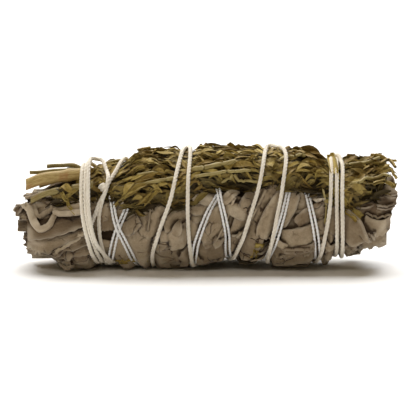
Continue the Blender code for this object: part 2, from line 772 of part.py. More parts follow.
def three_sided(rings):
    # Points and triangles of a closed bar of three-cornered sections
    points = [p for ring in rings for p in ring]
    faces = [(0, 1, 2)]
    for i in range(len(rings) - 1):
        left, ridge, right = 3 * i, 3 * i + 1, 3 * i + 2
        for a, b in ((left, ridge), (ridge, right)):
            faces += [(a, a + 3, b + 3), (a, b + 3, b)]
        faces += [(right, right + 3, left), (right + 3, left + 3, left)]
    last = 3 * (len(rings) - 1)
    faces.append((last, last + 2, last + 1))
    return points, faces


def make_sprigs(finish):
    sprigs = [Sprig(k, finish) for k in range(SPRIGS)]
    bare = Pile()
    bare.height = np.maximum.reduce([pile.height] + [sprig.heap.height for sprig in sprigs])
    bare.height = bare.widened(0.4)
    for sprig in sprigs[::2] + sprigs[1::2]:
        heap = Pile()
        heap.height = np.maximum.reduce(
            [pile.height] + [other.heap.height for other in sprigs if other is not sprig])
        others = heap.widened(0.4)
        start, end = sprig.left + 4.0, sprig.right - 3.0
        count = round((end - start) / BLADE_SPACING)
        for i in range(count):
            sprig.add_blade(start + (end - start) * (i + 0.5) / count, others, bare)
    for sprig in sprigs:
        pile.height = np.maximum(pile.height, sprig.heap.height)
        fused(f"herb_sprig_{sprig.k + 1}", sprig.pieces)


def bare_stem(name, angle, left, right, radius, rise, finish):
    # A cut stem laid on the pile, which can stand a little clear of it at its free end
    count = 6
    places = np.array([(left + (right - left) * i / (count - 1), angle) for i in range(count)])
    corners, shares = along_line(count, 10)
    spots = spots_of(places, corners, shares)
    floor = pile.widened(radius + 0.1)[pile.cells(spots)] + GAP + radius * 1.08
    heights = settled(np.full(count, floor.min()), corners, shares, floor)
    heights += rise * np.linspace(1, 0, count) ** 2
    half = degrees_of(radius, 0.0, angle)
    edges = np.repeat(places, 2, axis=0) + np.array([(0, -half), (0, half)] * count)
    record(pile, edges, count, 2, np.repeat(heights + radius, 2))
    points = [place(*p, h) for p, h in zip(places, heights)]
    radii = [radius * (1.0 + 0.08 * math.sin(5 * i)) for i in range(count)]
    return node(name, *tube(points, radii, 6), finish)


def centre_on_floor():
    # Moves the whole bunch so that the origin is on the floor under the middle of its bounds
    made = [part for part in bpy.data.objects if part.type == "MESH"]
    corners = np.array([v.co for part in made for v in part.data.vertices])
    low, high = corners.min(axis=0), corners.max(axis=0)
    shift = Vector((-(low[0] + high[0]) / 2, -(low[1] + high[1]) / 2, -low[2]))
    for part in made:
        for vertex in part.data.vertices:
            vertex.co += shift


def main():
    for old in list(bpy.data.objects):
        bpy.data.objects.remove(old)
    sage = material("white_sage", (0.24, 0.19, 0.12), 0.85)
    herb = material("green_herb", (0.13, 0.10, 0.025), 0.75)
    stem = material("dry_stem", (0.32, 0.22, 0.08), 0.7)
    cotton = material("cotton", (0.72, 0.66, 0.54), 0.9)
    white = material("white_thread", (0.85, 0.84, 0.82), 0.8)

    make_heart(sage)
    for leaf in LEAVES_BELOW_THREAD:
        sage_leaf(*leaf, sage)
    make_thread(white)
    for leaf in LEAVES_OVER_THREAD:
        sage_leaf(*leaf, sage)
    bare_stem(*WOODY_STEM, stem)
    for thin in THIN_STEMS:
        bare_stem(*thin, stem)
    make_sprigs(herb)
    make_string(cotton)
    centre_on_floor()


main()
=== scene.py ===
# Sage bunch: dried white sage and green herb tied with string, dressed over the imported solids.
# Sizes are in millimetres and angles in degrees until a mesh is made, in metres.
import json
import math

import bpy
import numpy as np
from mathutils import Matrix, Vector, noise

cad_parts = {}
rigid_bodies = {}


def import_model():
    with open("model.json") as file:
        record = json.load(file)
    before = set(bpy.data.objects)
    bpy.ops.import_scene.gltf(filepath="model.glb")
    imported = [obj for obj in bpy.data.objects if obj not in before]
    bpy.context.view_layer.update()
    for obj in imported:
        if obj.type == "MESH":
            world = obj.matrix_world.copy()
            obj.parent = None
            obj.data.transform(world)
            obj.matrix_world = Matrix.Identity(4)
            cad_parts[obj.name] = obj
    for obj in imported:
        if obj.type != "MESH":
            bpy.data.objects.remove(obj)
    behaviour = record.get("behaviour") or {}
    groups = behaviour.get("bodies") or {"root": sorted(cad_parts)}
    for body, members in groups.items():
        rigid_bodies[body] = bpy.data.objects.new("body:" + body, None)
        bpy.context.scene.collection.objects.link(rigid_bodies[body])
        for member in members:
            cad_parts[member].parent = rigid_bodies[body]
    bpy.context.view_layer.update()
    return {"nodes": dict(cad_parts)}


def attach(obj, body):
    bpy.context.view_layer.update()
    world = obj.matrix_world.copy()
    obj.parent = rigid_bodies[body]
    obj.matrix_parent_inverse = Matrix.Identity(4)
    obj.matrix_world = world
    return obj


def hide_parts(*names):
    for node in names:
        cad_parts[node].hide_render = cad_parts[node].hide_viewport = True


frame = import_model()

mm = 0.001
# the view from the front, in which many places below are given
camera = {"elevation": 10.0, "lens": 420.0, "sensor": 36.0, "aim": (1.39, 0.0, 17.1), "frame": 124.8}
# how far above the floor things stay, in metres
clearOf = {"points": 0.00003, "solids": 0.00002, "edges": 0.0004}
# the bunch's usual radius to the middle of a cord, and to a leaf
cordRadius = 17.0
leafRadius = 16.0
# the length of stem that its grain is mapped over once
stemMap = 30

# The round heart that everything is laid on: its middle line's height and its radius at stations
# along X, what lies round it, and how far the frame's origin is from the bunch's own
bunch = {
    "stations": (-58, -50, -40, -31, -20, -5, 8, 22, 30, 38, 48, 58),
    "centreHeights": (11.9, 13.1, 14.5, 15.6, 16.9, 17.5, 17.6, 17.6, 17.5, 17.6, 18.5, 19.3),
    "heartRadii": (8.2, 9.4, 11.0, 11.6, 12.9, 13.0, 13.2, 12.9, 12.3, 11.2, 9.8, 8.6),
    "ends": (-48.5, 48.5),
    "slimLeft": 1.3,
    "underHeart": 6.7,
    "leavesDeep": 2.5,
    "shift": (0.6404, -1.5385, 0.0),
    "seed": 11,
}
rng = np.random.default_rng(bunch["seed"])


def eased(t):
    # from 0 to 1, slow at both ends
    return t * t * (3 - 2 * t)


def curveThrough(knots, values):
    # a smooth function of one number through the given values
    knots = np.array(knots, float)
    values = np.array(values, float)
    slopes = np.gradient(values, knots)

    def read(at):
        at = np.asarray(at, float)
        i = np.clip(np.searchsorted(knots, at) - 1, 0, len(knots) - 2)
        span = knots[i + 1] - knots[i]
        t = np.clip((at - knots[i]) / span, 0, 1)
        bend = span * t * (1 - t) * (slopes[i] * (1 - t) - slopes[i + 1] * t)
        return values[i] + (values[i + 1] - values[i]) * eased(t) + bend

    return read


centreHeight = curveThrough(bunch["stations"], bunch["centreHeights"])
roundRadius = curveThrough(bunch["stations"], bunch["heartRadii"])


def slimBy(x, down):
    # how much slimmer the left is where it faces down
    return bunch["slimLeft"] * np.clip((-30 - x) / 11, 0, 1) * np.clip(down / 0.5, 0, 1)


def atLeftEnd(x):
    # 0 along the bunch, to 1 where its left end stands out of the string
    return np.clip((-39 - x) / 8, 0, 1)


def heartRadius(x, angle):
    # round, pressed flat below, and slimmer low at the left end
    down = -np.sin(np.radians(angle))
    flat = (centreHeight(x) - bunch["underHeart"]) / np.maximum(down, 0.1)
    rounded = roundRadius(x) - slimBy(x, down)
    return np.where(down <= 0.1, rounded, np.minimum(rounded, flat))


def place(x, angle, height):
    # points in metres, this high above the heart; the angle grows from the front over the top
    x, angle, height = np.broadcast_arrays(x, angle, height)
    out = heartRadius(x, angle) + height
    turn = np.radians(angle)
    points = np.stack([x, -out * np.cos(turn), centreHeight(x) + out * np.sin(turn)], axis=-1)
    points = (points + np.array(bunch["shift"])) * mm
    points[..., 2] = np.maximum(points[..., 2], clearOf["points"])
    return points


def placeOf(points):
    # where points in metres are on the bunch: along X, the angle, and the height above the heart
    here = points / mm - np.array(bunch["shift"])
    up = here[:, 2] - centreHeight(here[:, 0])
    angle = np.degrees(np.arctan2(up, -here[:, 1])) % 360
    return here[:, 0], angle, np.hypot(up, here[:, 1]) - heartRadius(here[:, 0], angle)


def degreesOf(distance, x, angle):
    # the turn that a distance round the bunch makes, on the leaves over the heart
    return np.degrees(distance / (heartRadius(x, angle) + bunch["leavesDeep"]))


def wobble(a, b, c=0.0):
    # smooth noise from -1 to 1 at each pair of numbers
    a, b, c = np.broadcast_arrays(a, b, c)
    flat = [noise.noise(Vector(p)) for p in zip(a.ravel(), b.ravel(), c.ravel())]
    return np.array(flat).reshape(a.shape)


class HeightMap:
    # how high something stands above the heart, over X and the angle
    step = 0.4
    turnStep = 1.2
    left = -66.0
    rows = round(-2 * left / step) + 1
    columns = round(360 / turnStep)

    def __init__(self, start):
        self.high = np.full((self.rows, self.columns), float(start))

    def grid(self):
        x = self.left + self.step * np.arange(self.rows)[:, None]
        return np.broadcast_arrays(x, self.turnStep * np.arange(self.columns)[None, :])

    def read(self, x, angle):
        along = np.clip((np.asarray(x) - self.left) / self.step, 0, self.rows - 1.001)
        across = np.asarray(angle) / self.turnStep
        i, j = np.floor(along).astype(int), np.floor(across).astype(int)
        u, v = along - i, across - j
        j0, j1 = j % self.columns, (j + 1) % self.columns
        low = self.high[i, j0] * (1 - v) + self.high[i, j1] * v
        return low * (1 - u) + (self.high[i + 1, j0] * (1 - v) + self.high[i + 1, j1] * v) * u

    def cells(self, x, angle):
        i = np.clip(np.round((x - self.left) / self.step).astype(int), 0, self.rows - 1)
        return i, np.round(angle / self.turnStep).astype(int) % self.columns

    def raiseTo(self, x, angle, height):
        np.maximum.at(self.high, self.cells(x, angle), height)

    def widened(self):
        made = HeightMap(0)
        h = self.high
        h = np.maximum(h, np.maximum(np.roll(h, 1, 1), np.roll(h, -1, 1)))
        padded = np.vstack([h[:1], h, h[-1:]])
        made.high = np.maximum(h, np.maximum(padded[:-2], padded[2:]))
        return made

    def softened(self, passes):
        made = HeightMap(0)
        h = self.high
        for _ in range(passes):
            h = (np.roll(h, 1, 1) + h * 2 + np.roll(h, -1, 1)) / 4
            padded = np.vstack([h[:1], h, h[-1:]])
            h = (padded[:-2] + padded[1:-1] * 2 + padded[2:]) / 4
        made.high = h
        return made


def routeOf(knots, step):
    # places (x, angle) evenly spaced along a smooth curve through the route's own points
    knots = np.array(knots, float)
    runs = np.hypot(np.diff(knots[:, 0]), np.radians(np.diff(knots[:, 1])) * leafRadius)
    far = np.concatenate([[0], np.cumsum(runs)])
    at = np.linspace(0, far[-1], round(far[-1] / step) + 1)
    return np.stack([curveThrough(far, knots[:, 0])(at), curveThrough(far, knots[:, 1])(at)], 1)


# The string winds from the tight turns at the left to the right and back, as (x, angle)
string = {
    "route": (
        (-31.5, -170), (-30.9, -100), (-31.9, -60), (-34.7, -20), (-36.5, 12), (-36.9, 40),
        (-36.5, 70), (-35.5, 100), (-33.6, 160), (-31.4, 220), (-29.2, 262), (-30.5, 300),
        (-33.4, 340), (-35.3, 372), (-35.7, 400), (-35.3, 430), (-33.9, 462), (-31.4, 520),
        (-28.9, 590), (-27.4, 626), (-29.1, 660), (-31.5, 705), (-31.4, 735), (-29.2, 762),
        (-26.6, 785), (-24.6, 812), (-22.2, 880), (-18.0, 950), (-15.8, 990), (-15.3, 1050),
        (-13.2, 1072), (-10.4, 1098), (-7.8, 1140), (-6.4, 1172), (-5.4, 1202), (-0.6, 1245),
        (3.6, 1290), (6.0, 1342), (9.6, 1400), (13.2, 1440), (16.4, 1480), (18.4, 1532),
        (21.4, 1590), (28.4, 1645), (31.8, 1705), (34.6, 1765), (36.6, 1800), (37.4, 1850),
        (37.6, 1895), (37.8, 1980), (38.2, 2065), (39.0, 2120), (39.0, 2180), (39.2, 2255),
        (39.8, 2340), (40.4, 2425), (40.7, 2480), (40.6, 2540), (40.2, 2612), (36.8, 2652),
        (27.0, 2700), (21.4, 2742), (19.2, 2790), (18.6, 2830), (21.0, 2876), (22.8, 2910),
        (23.8, 2955), (20.6, 2990), (11.0, 3030), (2.2, 3064), (-0.8, 3100), (-1.6, 3145),
        (-3.6, 3180), (-5.0, 3220), (-5.2, 3270), (-4.5, 3320), (-4.9, 3350), (-9.4, 3385),
        (-17.0, 3425), (-21.0, 3462), (-23.2, 3505), (-27.6, 3545), (-32.2, 3578),
        (-34.4, 3610), (-34.8, 3640), (-34.5, 3668), (-33.2, 3688), (-31.4, 3689), (-29.9, 3674),
        (-28.9, 3652), (-29.6, 3636), (-31.0, 3624),
    ),
    "diameter": 1.3,
    "clearOfFloor": 0.17,
    "knot": (-30.4, 22.8),
    "knotRadius": 0.85,
    "knotTurns": 1.9,
    "knotLength": 2.0,
    "plies": 3,
    "plyRadius": 0.37,
    "twistLength": 3.8,
    "sinksIn": 0.25,
}
thread = {
    "route": (
        (-28.6, -95), (-28.2, -45), (-26.0, -12), (-23.4, 12), (-21.5, 50), (-17.0, 110),
        (-11.0, 190), (-4.4, 262), (-3.7, 300), (-2.6, 330), (0.2, 358), (4.4, 390), (8.0, 440),
        (12.0, 510), (15.0, 590), (16.8, 640), (19.8, 684), (23.2, 722), (25.2, 760),
        (29.0, 840), (34.0, 920), (34.6, 960), (33.6, 1010), (33.0, 1060), (31.2, 1092),
        (28.8, 1130), (22.0, 1210), (12.5, 1290), (9.6, 1335), (7.4, 1366), (6.7, 1395),
        (6.6, 1420), (4.2, 1462), (0.5, 1530), (-7.5, 1610), (-17.0, 1690), (-20.0, 1730),
        (-23.4, 1770), (-26.6, 1800), (-28.0, 1830), (-30.0, 1875),
    ),
    "diameter": 0.8,
    "apart": 1.1,
    "crossing": 1.7,
    "lowest": 0.6,
    "underHerb": 0.9,
    "plies": 2,
    "plyRadius": 0.24,
    "twistLength": 2.2,
    "sinksIn": 0.1,
}


def distanceMap(path, far):
    # how far each place on the bunch is from a cord
    made = HeightMap(far)
    x, angle = made.grid()
    i0, j0 = made.cells(path[:, 0], path[:, 1])
    reach = math.ceil(far / made.step)
    wide = math.ceil(math.degrees(far / 14.0) / made.turnStep)
    di, dj = np.meshgrid(np.arange(-reach, reach + 1), np.arange(-wide, wide + 1), indexing="ij")
    i = np.clip(i0[:, None] + di.ravel()[None], 0, made.rows - 1)
    j = (j0[:, None] + dj.ravel()[None]) % made.columns
    turn = (angle[i, j] - path[:, 1:2] + 180) % 360 - 180
    np.minimum.at(made.high, (i, j), np.hypot(x[i, j] - path[:, 0:1], np.radians(turn) * cordRadius))
    return made


stringNear = distanceMap(routeOf(string["route"], 0.6), 6.0)
threadNear = distanceMap(routeOf(thread["route"], 0.6), 6.0)


def free(distance, inner, outer):
    # 0 under a cord, where the leaves are pressed down, to 1 where they stand free
    return eased(np.clip((distance - inner) / (outer - inner), 0, 1))


def chosen(*pieces):
    bpy.ops.object.select_all(action="DESELECT")
    for piece in pieces:
        piece.select_set(True)
    bpy.context.view_layer.objects.active = pieces[0]


def linked(name, data):
    thing = bpy.data.objects.new(name, data)
    bpy.context.scene.collection.objects.link(thing)
    return thing


def named(name):
    # the piece that Blender just added, and its mesh, under this name
    piece = bpy.context.object
    piece.name = name
    piece.data.name = name
    return piece


def applied(piece, kind, **settings):
    bpy.context.view_layer.objects.active = piece
    bpy.ops.object.modifier_add(type=kind)
    modifier = piece.modifiers[-1]
    for name, value in settings.items():
        setattr(modifier, name, value)
    bpy.ops.object.modifier_apply(modifier=modifier.name)


def pointsOf(piece):
    points = np.empty(len(piece.data.vertices) * 3)
    piece.data.vertices.foreach_get("co", points)
    return points.reshape(-1, 3)


def setPoints(piece, points):
    piece.data.vertices.foreach_set("co", np.asarray(points, float).ravel())
    piece.data.update()


def setGrid(piece, order, points):
    # moves the vertices of a patch to the points of a grid
    placed = np.empty((order.size, 3))
    placed[order.ravel()] = points.reshape(-1, 3)
    setPoints(piece, placed)


def thickened(piece, thickness):
    # gives a sheet its thickness, and keeps it above the floor
    applied(piece, "SOLIDIFY", thickness=thickness * mm, offset=0.0)
    solid = pointsOf(piece)
    solid[:, 2] = np.maximum(solid[:, 2], clearOf["solids"])
    setPoints(piece, solid)


def nodeName(name):
    # the CAD node of a piece: its own name in small letters
    return "".join("_" + c.lower() if c.isupper() else c for c in name)


def unit(vectors):
    return vectors / np.linalg.norm(vectors, axis=1)[:, None]


def evened(values, passes):
    # smooths the values along a line, whose ends stay
    for _ in range(passes):
        values[1:-1] = (values[:-2] + 2 * values[1:-1] + values[2:]) / 4
    return values


def lengthsAlong(line):
    # how far along a line each of its points is
    return np.concatenate([[0], np.cumsum(np.linalg.norm(np.diff(line, axis=0), axis=1))])


def tinted(piece, value, name="tint"):
    # a number for each leaf or corner, from which its finish takes its tone, or under a second name its
    # painted shade and highlight
    attribute = piece.data.attributes.get(name) or piece.data.attributes.new(name, "FLOAT", "POINT")
    values = np.empty(len(piece.data.vertices))
    values[:] = value
    attribute.data.foreach_set("value", values)


def softShaded(piece):
    chosen(piece)
    bpy.ops.object.shade_smooth_by_angle(angle=math.radians(50))


def patch(name, rows, columns):
    # a flat grid, and the order of its vertices as rows along it
    bpy.ops.mesh.primitive_grid_add(x_subdivisions=rows - 1, y_subdivisions=columns - 1, size=2)
    piece = named(name)
    flat = pointsOf(piece)
    order = np.lexsort((flat[:, 1], flat[:, 0])).reshape(rows, columns)
    return piece, order


def joined(name, pieces):
    chosen(*pieces)
    bpy.ops.object.join()
    return named(name)


def finished(piece, finish, slot, *nodes):
    # gives a piece its finish and its body, and hides the CAD nodes that it replaces; the slot is not used
    piece.data.materials.clear()
    piece.data.materials.append(finishes[finish])
    softShaded(piece)
    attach(piece, "root")
    if nodes:
        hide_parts(*nodes)
    return piece


# Finishes


class ShadeGroup:
    # a group of shader nodes: each call adds a node and gives what comes out of it
    def __init__(self, name, values, colours):
        self.tree = bpy.data.node_groups.new(name, "ShaderNodeTree")
        sockets = [("INPUT", "Position", "Vector")]
        sockets += [("INPUT", label, "Float") for label in values]
        sockets += [("INPUT", label, "Color") for label in colours]
        sockets += [("OUTPUT", "Colour", "Color"), ("OUTPUT", "Height", "Float")]
        for side, label, kind in sockets:
            self.tree.interface.new_socket(label, in_out=side, socket_type="NodeSocket" + kind)
        self.given = {s.name: s for s in self.tree.nodes.new("NodeGroupInput").outputs}
        self.end = self.tree.nodes.new("NodeGroupOutput")

    def plug(self, socket, value):
        # another node's output, or a plain number or colour
        if isinstance(value, bpy.types.NodeSocket):
            self.tree.links.new(value, socket)
        else:
            socket.default_value = value

    def added(self, kind, settings=None, **inputs):
        # inputs go by their names without spaces, or as i0, i1 by their places
        made = self.tree.nodes.new("ShaderNode" + kind)
        for name, value in (settings or {}).items():
            setattr(made, name, value)
        for name, value in inputs.items():
            found = [s for s in made.inputs if s.name.replace(" ", "") == name and s.enabled]
            self.plug(found[0] if found else made.inputs[int(name[1:])], value)
        return made.outputs

    def maths(self, operation, a, b=0.0):
        return self.added("Math", {"operation": operation}, i0=a, i1=b)[0]

    def times(self, a, b):
        return self.maths("MULTIPLY", a, b)

    def plus(self, a, b):
        return self.maths("ADD", a, b)

    def minus(self, a, b):
        return self.maths("SUBTRACT", a, b)

    def mixed(self, share, a, b):
        return self.added("Mix", {"data_type": "RGBA"}, i0=share, i6=a, i7=b)[2]

    def ranged(self, value, low, high, newLow=0.0, newHigh=1.0):
        return self.added("MapRange", {"clamp": True}, Value=value, FromMin=low, FromMax=high,
                          ToMin=newLow, ToMax=newHigh)[0]

    def speckled(self, size, detail=3.0, rough=0.55):
        # noise whose features are about this many millimetres across
        return self.added("TexNoise", Vector=self.given["Position"], Scale=1000.0 / size,
                          Detail=detail, Roughness=rough)[0]

    def cells(self, where, scale):
        # how far each place is from the edge of its cell
        return self.added("TexVoronoi", {"feature": "DISTANCE_TO_EDGE"}, Vector=where, Scale=scale)[0]

    def gives(self, tone, height):
        self.plug(self.end.inputs["Colour"], tone)
        self.plug(self.end.inputs["Height"], height)
        return self.tree


def leafFelt():
    put = ShadeGroup("leafFelt", ("Along", "Across", "Tint", "Deep", "Wear", "Vein", "Stain", "Crack"),
                     ("Pale", "Warm", "Dark", "Edge", "Bright"))
    # edge is the colour of worn edges, and also of the painted shade in cracks and gaps
    where, along, across, tint, deep, wear, vein, stain, cracked, pale, warm, dark, edge, paintedHighlight = (
        s for s in put.given.values() if s.name)
    sizes = ((6.0, 4.0, 0.6), (0.7, 5.0, 0.7), (2.2, 4.0, 0.6))
    broad, fine, patchy = (put.speckled(*size) for size in sizes)
    # a middle rib, and side ribs that slant away from it
    side = put.maths("ABSOLUTE", put.minus(across, 0.5))
    slanted = put.times(put.minus(along, put.times(side, 0.55)), 62.0)
    ribs = put.ranged(put.maths("SINE", put.plus(slanted, put.times(patchy, 3.5))), 0.8, 1.0)
    veins = put.maths("MAXIMUM", put.times(ribs, 0.45), put.ranged(side, 0.012, 0.05, 1.0, 0.0))
    veins = put.times(veins, vein)
    # blotches, stains and specks
    tone = put.mixed(put.ranged(put.plus(broad, put.times(tint, 0.5)), 0.45, 1.05), pale, warm)
    tone = put.mixed(put.ranged(tint, 1.0, 2.0, 0.0, 0.85), tone, dark)
    tone = put.mixed(put.times(put.ranged(patchy, 0.58, 0.75), stain), tone, dark)
    tone = put.mixed(put.ranged(fine, 0.35, 0.75, 0.0, 0.35), tone, dark)
    tone = put.mixed(put.times(veins, 0.35), tone, pale)
    # worn edges
    ends, sides = (put.maths("MINIMUM", a, put.minus(1.0, a)) for a in (along, across))
    inset = put.maths("MINIMUM", put.times(ends, 1.6), sides)
    inset = put.plus(inset, put.times(put.minus(patchy, 0.5), 0.16))
    tone = put.mixed(put.times(put.ranged(inset, 0.0, 0.06, 1.0, 0.0), wear), tone, edge)
    # cracks, in some places and not on the palest leaves: thin lines sunk in the bump and painted near
    # black as the shade inside them
    wander = put.added("TexNoise", Vector=where, Scale=420.0, Detail=2.0)[1]
    wander = put.added("VectorMath", {"operation": "SCALE"}, i0=wander, Scale=0.0022)[0]
    shards = put.cells(put.added("VectorMath", {"operation": "ADD"}, i0=where, i1=wander)[0], 190.0)
    crack = put.ranged(shards, 0.012, 0.045, 1.0, 0.0)
    crack = put.times(crack, put.ranged(put.speckled(9.0, 2.0), 0.51, 0.60))
    crack = put.times(put.times(crack, cracked), put.ranged(tint, 0.1, 0.3))
    tone = put.mixed(put.times(crack, 0.95), tone, edge)
    # painted highlight where it stands proud, and painted shade in the gaps
    tone = put.mixed(put.ranged(deep, -1.0, -0.05, 0.42, 0.0), tone, paintedHighlight)
    gap = put.ranged(put.plus(deep, put.times(put.minus(fine, 0.5), 0.25)), 0.05, 1.0)
    tone = put.mixed(put.times(gap, 0.9), tone, edge)
    grain = put.times(put.ranged(put.cells(where, 1500.0), 0.0, 0.3), 0.35)
    height = put.plus(put.plus(put.times(fine, 0.5), grain), put.times(veins, 0.6))
    return put.gives(tone, put.minus(height, put.times(crack, 2.0)))


def strandGrain(name, along, across, detail, contrast, fleckSize, flecks):
    # grain or fibres that run along a stem or a ply, with flecks over them
    put = ShadeGroup(name, ("Along", "Across"), ("Pale", "Dark", "Blush"))
    where = put.added("CombineXYZ", X=put.times(put.given["Along"], along),
                      Y=put.times(put.given["Across"], across), Z=0.0)[0]
    grain = put.added("TexNoise", Vector=where, Scale=1.0, Detail=detail, Roughness=0.65)[0]
    tone = put.mixed(put.ranged(grain, *contrast), put.given["Dark"], put.given["Pale"])
    tone = put.mixed(put.ranged(put.speckled(fleckSize, 3.0), *flecks), tone, put.given["Blush"])
    return put.gives(tone, grain)


groups = {
    "leafFelt": leafFelt(),
    "cordFibre": strandGrain("cordFibre", 900.0, 22.0, 4.0, (0.3, 0.75), 5.0, (0.45, 0.75, 0.0, 0.35)),
    "stemGrain": strandGrain("stemGrain", 9.0, 26.0, 5.0, (0.35, 0.7), 3.0, (0.55, 0.75, 0.0, 0.7)),
}


def finishWith(name, groupName, values, roughness, bump, sheen=0.0, specular=0.3):
    finish = bpy.data.materials.new(name)
    finish.use_nodes = True
    tree = finish.node_tree
    shader = tree.nodes["Principled BSDF"]
    shader.inputs["Roughness"].default_value = roughness
    shader.inputs["Specular IOR Level"].default_value = specular
    shader.inputs["Sheen Weight"].default_value = sheen
    effect = tree.nodes.new("ShaderNodeGroup")
    effect.node_tree = groups[groupName]
    where = tree.nodes.new("ShaderNodeTexCoord")
    split = tree.nodes.new("ShaderNodeSeparateXYZ")
    tree.links.new(where.outputs["UV"], split.inputs[0])
    tree.links.new(where.outputs["Object"], effect.inputs["Position"])
    tree.links.new(split.outputs[0], effect.inputs["Along"])
    tree.links.new(split.outputs[1], effect.inputs["Across"])
    # each leaf's tone, and its painted shade and highlight, come from the pieces' own attributes
    for label in ("Tint", "Deep"):
        if label in effect.inputs:
            own = tree.nodes.new("ShaderNodeAttribute")
            own.attribute_name = label.lower()
            tree.links.new(own.outputs["Fac"], effect.inputs[label])
    for label, value in values.items():
        effect.inputs[label].default_value = (*value, 1.0) if np.ndim(value) else value
    relief = tree.nodes.new("ShaderNodeBump")
    relief.inputs["Strength"].default_value = 0.8
    relief.inputs["Distance"].default_value = bump * mm
    tree.links.new(effect.outputs["Height"], relief.inputs["Height"])
    tree.links.new(effect.outputs["Colour"], shader.inputs["Base Color"])
    tree.links.new(relief.outputs["Normal"], shader.inputs["Normal"])
    return finish


sageLooks = {
    "Pale": (0.40, 0.318, 0.212), "Warm": (0.26, 0.195, 0.12), "Dark": (0.125, 0.08, 0.045),
    "Edge": (0.040, 0.021, 0.009), "Bright": (0.56, 0.48, 0.36),
    "Wear": 0.4, "Vein": 0.5, "Stain": 0.4, "Crack": 1.0,
}
herbLooks = {
    "Pale": (0.51, 0.385, 0.105), "Warm": (0.25, 0.155, 0.03), "Dark": (0.045, 0.026, 0.005),
    "Edge": (0.011, 0.006, 0.001), "Bright": (0.5, 0.41, 0.16),
    "Wear": 0.5, "Vein": 0.8, "Stain": 0.5, "Crack": 0.0,
}
cream, cotton = ((0.95, 0.91, 0.82), (0.74, 0.67, 0.55)), ((0.96, 0.96, 0.96), (0.82, 0.81, 0.80))
# stems and cords: their grain, the pale, dark and blushed shade, roughness, bump and sheen
strandLooks = {
    "sageStem": ("stemGrain", (0.25, 0.19, 0.115), (0.09, 0.06, 0.035), (0.10, 0.065, 0.04), 0.8, 0.2, 0.0),
    "dryStem": ("stemGrain", (0.54, 0.41, 0.165), (0.26, 0.17, 0.055), (0.30, 0.11, 0.04), 0.6, 0.12, 0.0),
    "paleStem": ("stemGrain", (0.42, 0.35, 0.14), (0.22, 0.16, 0.05), (0.20, 0.13, 0.04), 0.6, 0.1, 0.0),
    "oliveStem": ("stemGrain", (0.38, 0.31, 0.13), (0.15, 0.11, 0.03), (0.22, 0.12, 0.04), 0.6, 0.1, 0.0),
    "creamCotton": ("cordFibre", *cream, cream[1], 0.9, 0.12, 0.2),
    "whiteCotton": ("cordFibre", *cotton, cotton[1], 0.8, 0.08, 0.2),
}
finishes = {
    "whiteSage": finishWith("whiteSage", "leafFelt", sageLooks, 0.85, 0.16, sheen=0.15, specular=0.2),
    "greenHerb": finishWith("greenHerb", "leafFelt", herbLooks, 0.65, 0.12),
}
for name, (grain, pale, dark, blush, *surface) in strandLooks.items():
    finishes[name] = finishWith(name, grain, {"Pale": pale, "Dark": dark, "Blush": blush}, *surface)
print("finishes made")

# Sage leaf outlines: steps along the leaf, and its share of the half width there, left and right
leafOutlines = {
    "lance": ((0, 0.07, 0.3, 0.6, 0.85, 0.96, 1), (0.22, 0.5, 0.92, 1, 0.74, 0.36, 0.1),
              (0.22, 0.46, 0.84, 1, 0.7, 0.32, 0.1)),
    "broad": ((0, 0.1, 0.3, 0.6, 0.85, 0.95, 1), (0.5, 0.82, 1, 0.98, 0.82, 0.6, 0.36),
              (0.42, 0.7, 0.94, 1, 0.9, 0.72, 0.4)),
    "torn": ((0, 0.08, 0.35, 0.6, 0.9, 1), (0.9, 1, 0.95, 1, 0.88, 0.7), (0.62, 0.8, 1, 0.96, 1, 0.9)),
    "tongue": ((0, 0.12, 0.4, 0.75, 0.92, 1), (0.5, 0.7, 0.86, 1, 0.74, 0.32),
               (0.55, 0.78, 1, 0.98, 0.7, 0.3)),
    "pointed": ((0, 0.1, 0.35, 0.65, 0.88, 1), (0.7, 0.95, 1, 0.72, 0.34, 0.05),
                (0.66, 0.84, 0.96, 0.8, 0.4, 0.05)),
    "shard": ((0, 0.2, 0.22, 0.55, 0.8, 1), (0.3, 0.55, 1, 0.9, 0.4, 0.06), (0.8, 1, 0.95, 0.6, 0.98, 0.5)),
}
sageLeaf = {"thickness": 0.55, "thin": 0.45, "spacing": 0.5, "puffBelow": 4.5, "puffSide": 1.2,
            "crumple": 0.24, "fine": 0.13, "lean": 0.55, "widest": 19.6, "widestBelow": 18.4}
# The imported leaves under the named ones: a round a little below the heart, fuller underneath
packing = {"taper": 1.2, "sunk": -0.8, "below": 1.3, "clearOfFloor": 3.0}


def packedHeight(x, angle):
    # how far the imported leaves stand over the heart
    down = np.maximum(0, -np.sin(np.radians(angle)))
    full = np.minimum((centreHeight(x) - packing["clearOfFloor"]) / np.maximum(down, 0.1),
                      roundRadius(x) + packing["below"] - slimBy(x, down))
    share = np.clip((down - 0.05) / 0.4, 0, 1)
    taper = packing["taper"] * atLeftEnd(x) * down ** 0.5
    return packing["sunk"] + (full - heartRadius(x, angle) - packing["sunk"]) * share - taper


sagePile = HeightMap(0)
gridX, gridAngle = sagePile.grid()
filled = packedHeight(gridX, gridAngle)
sagePile.high = filled.copy()


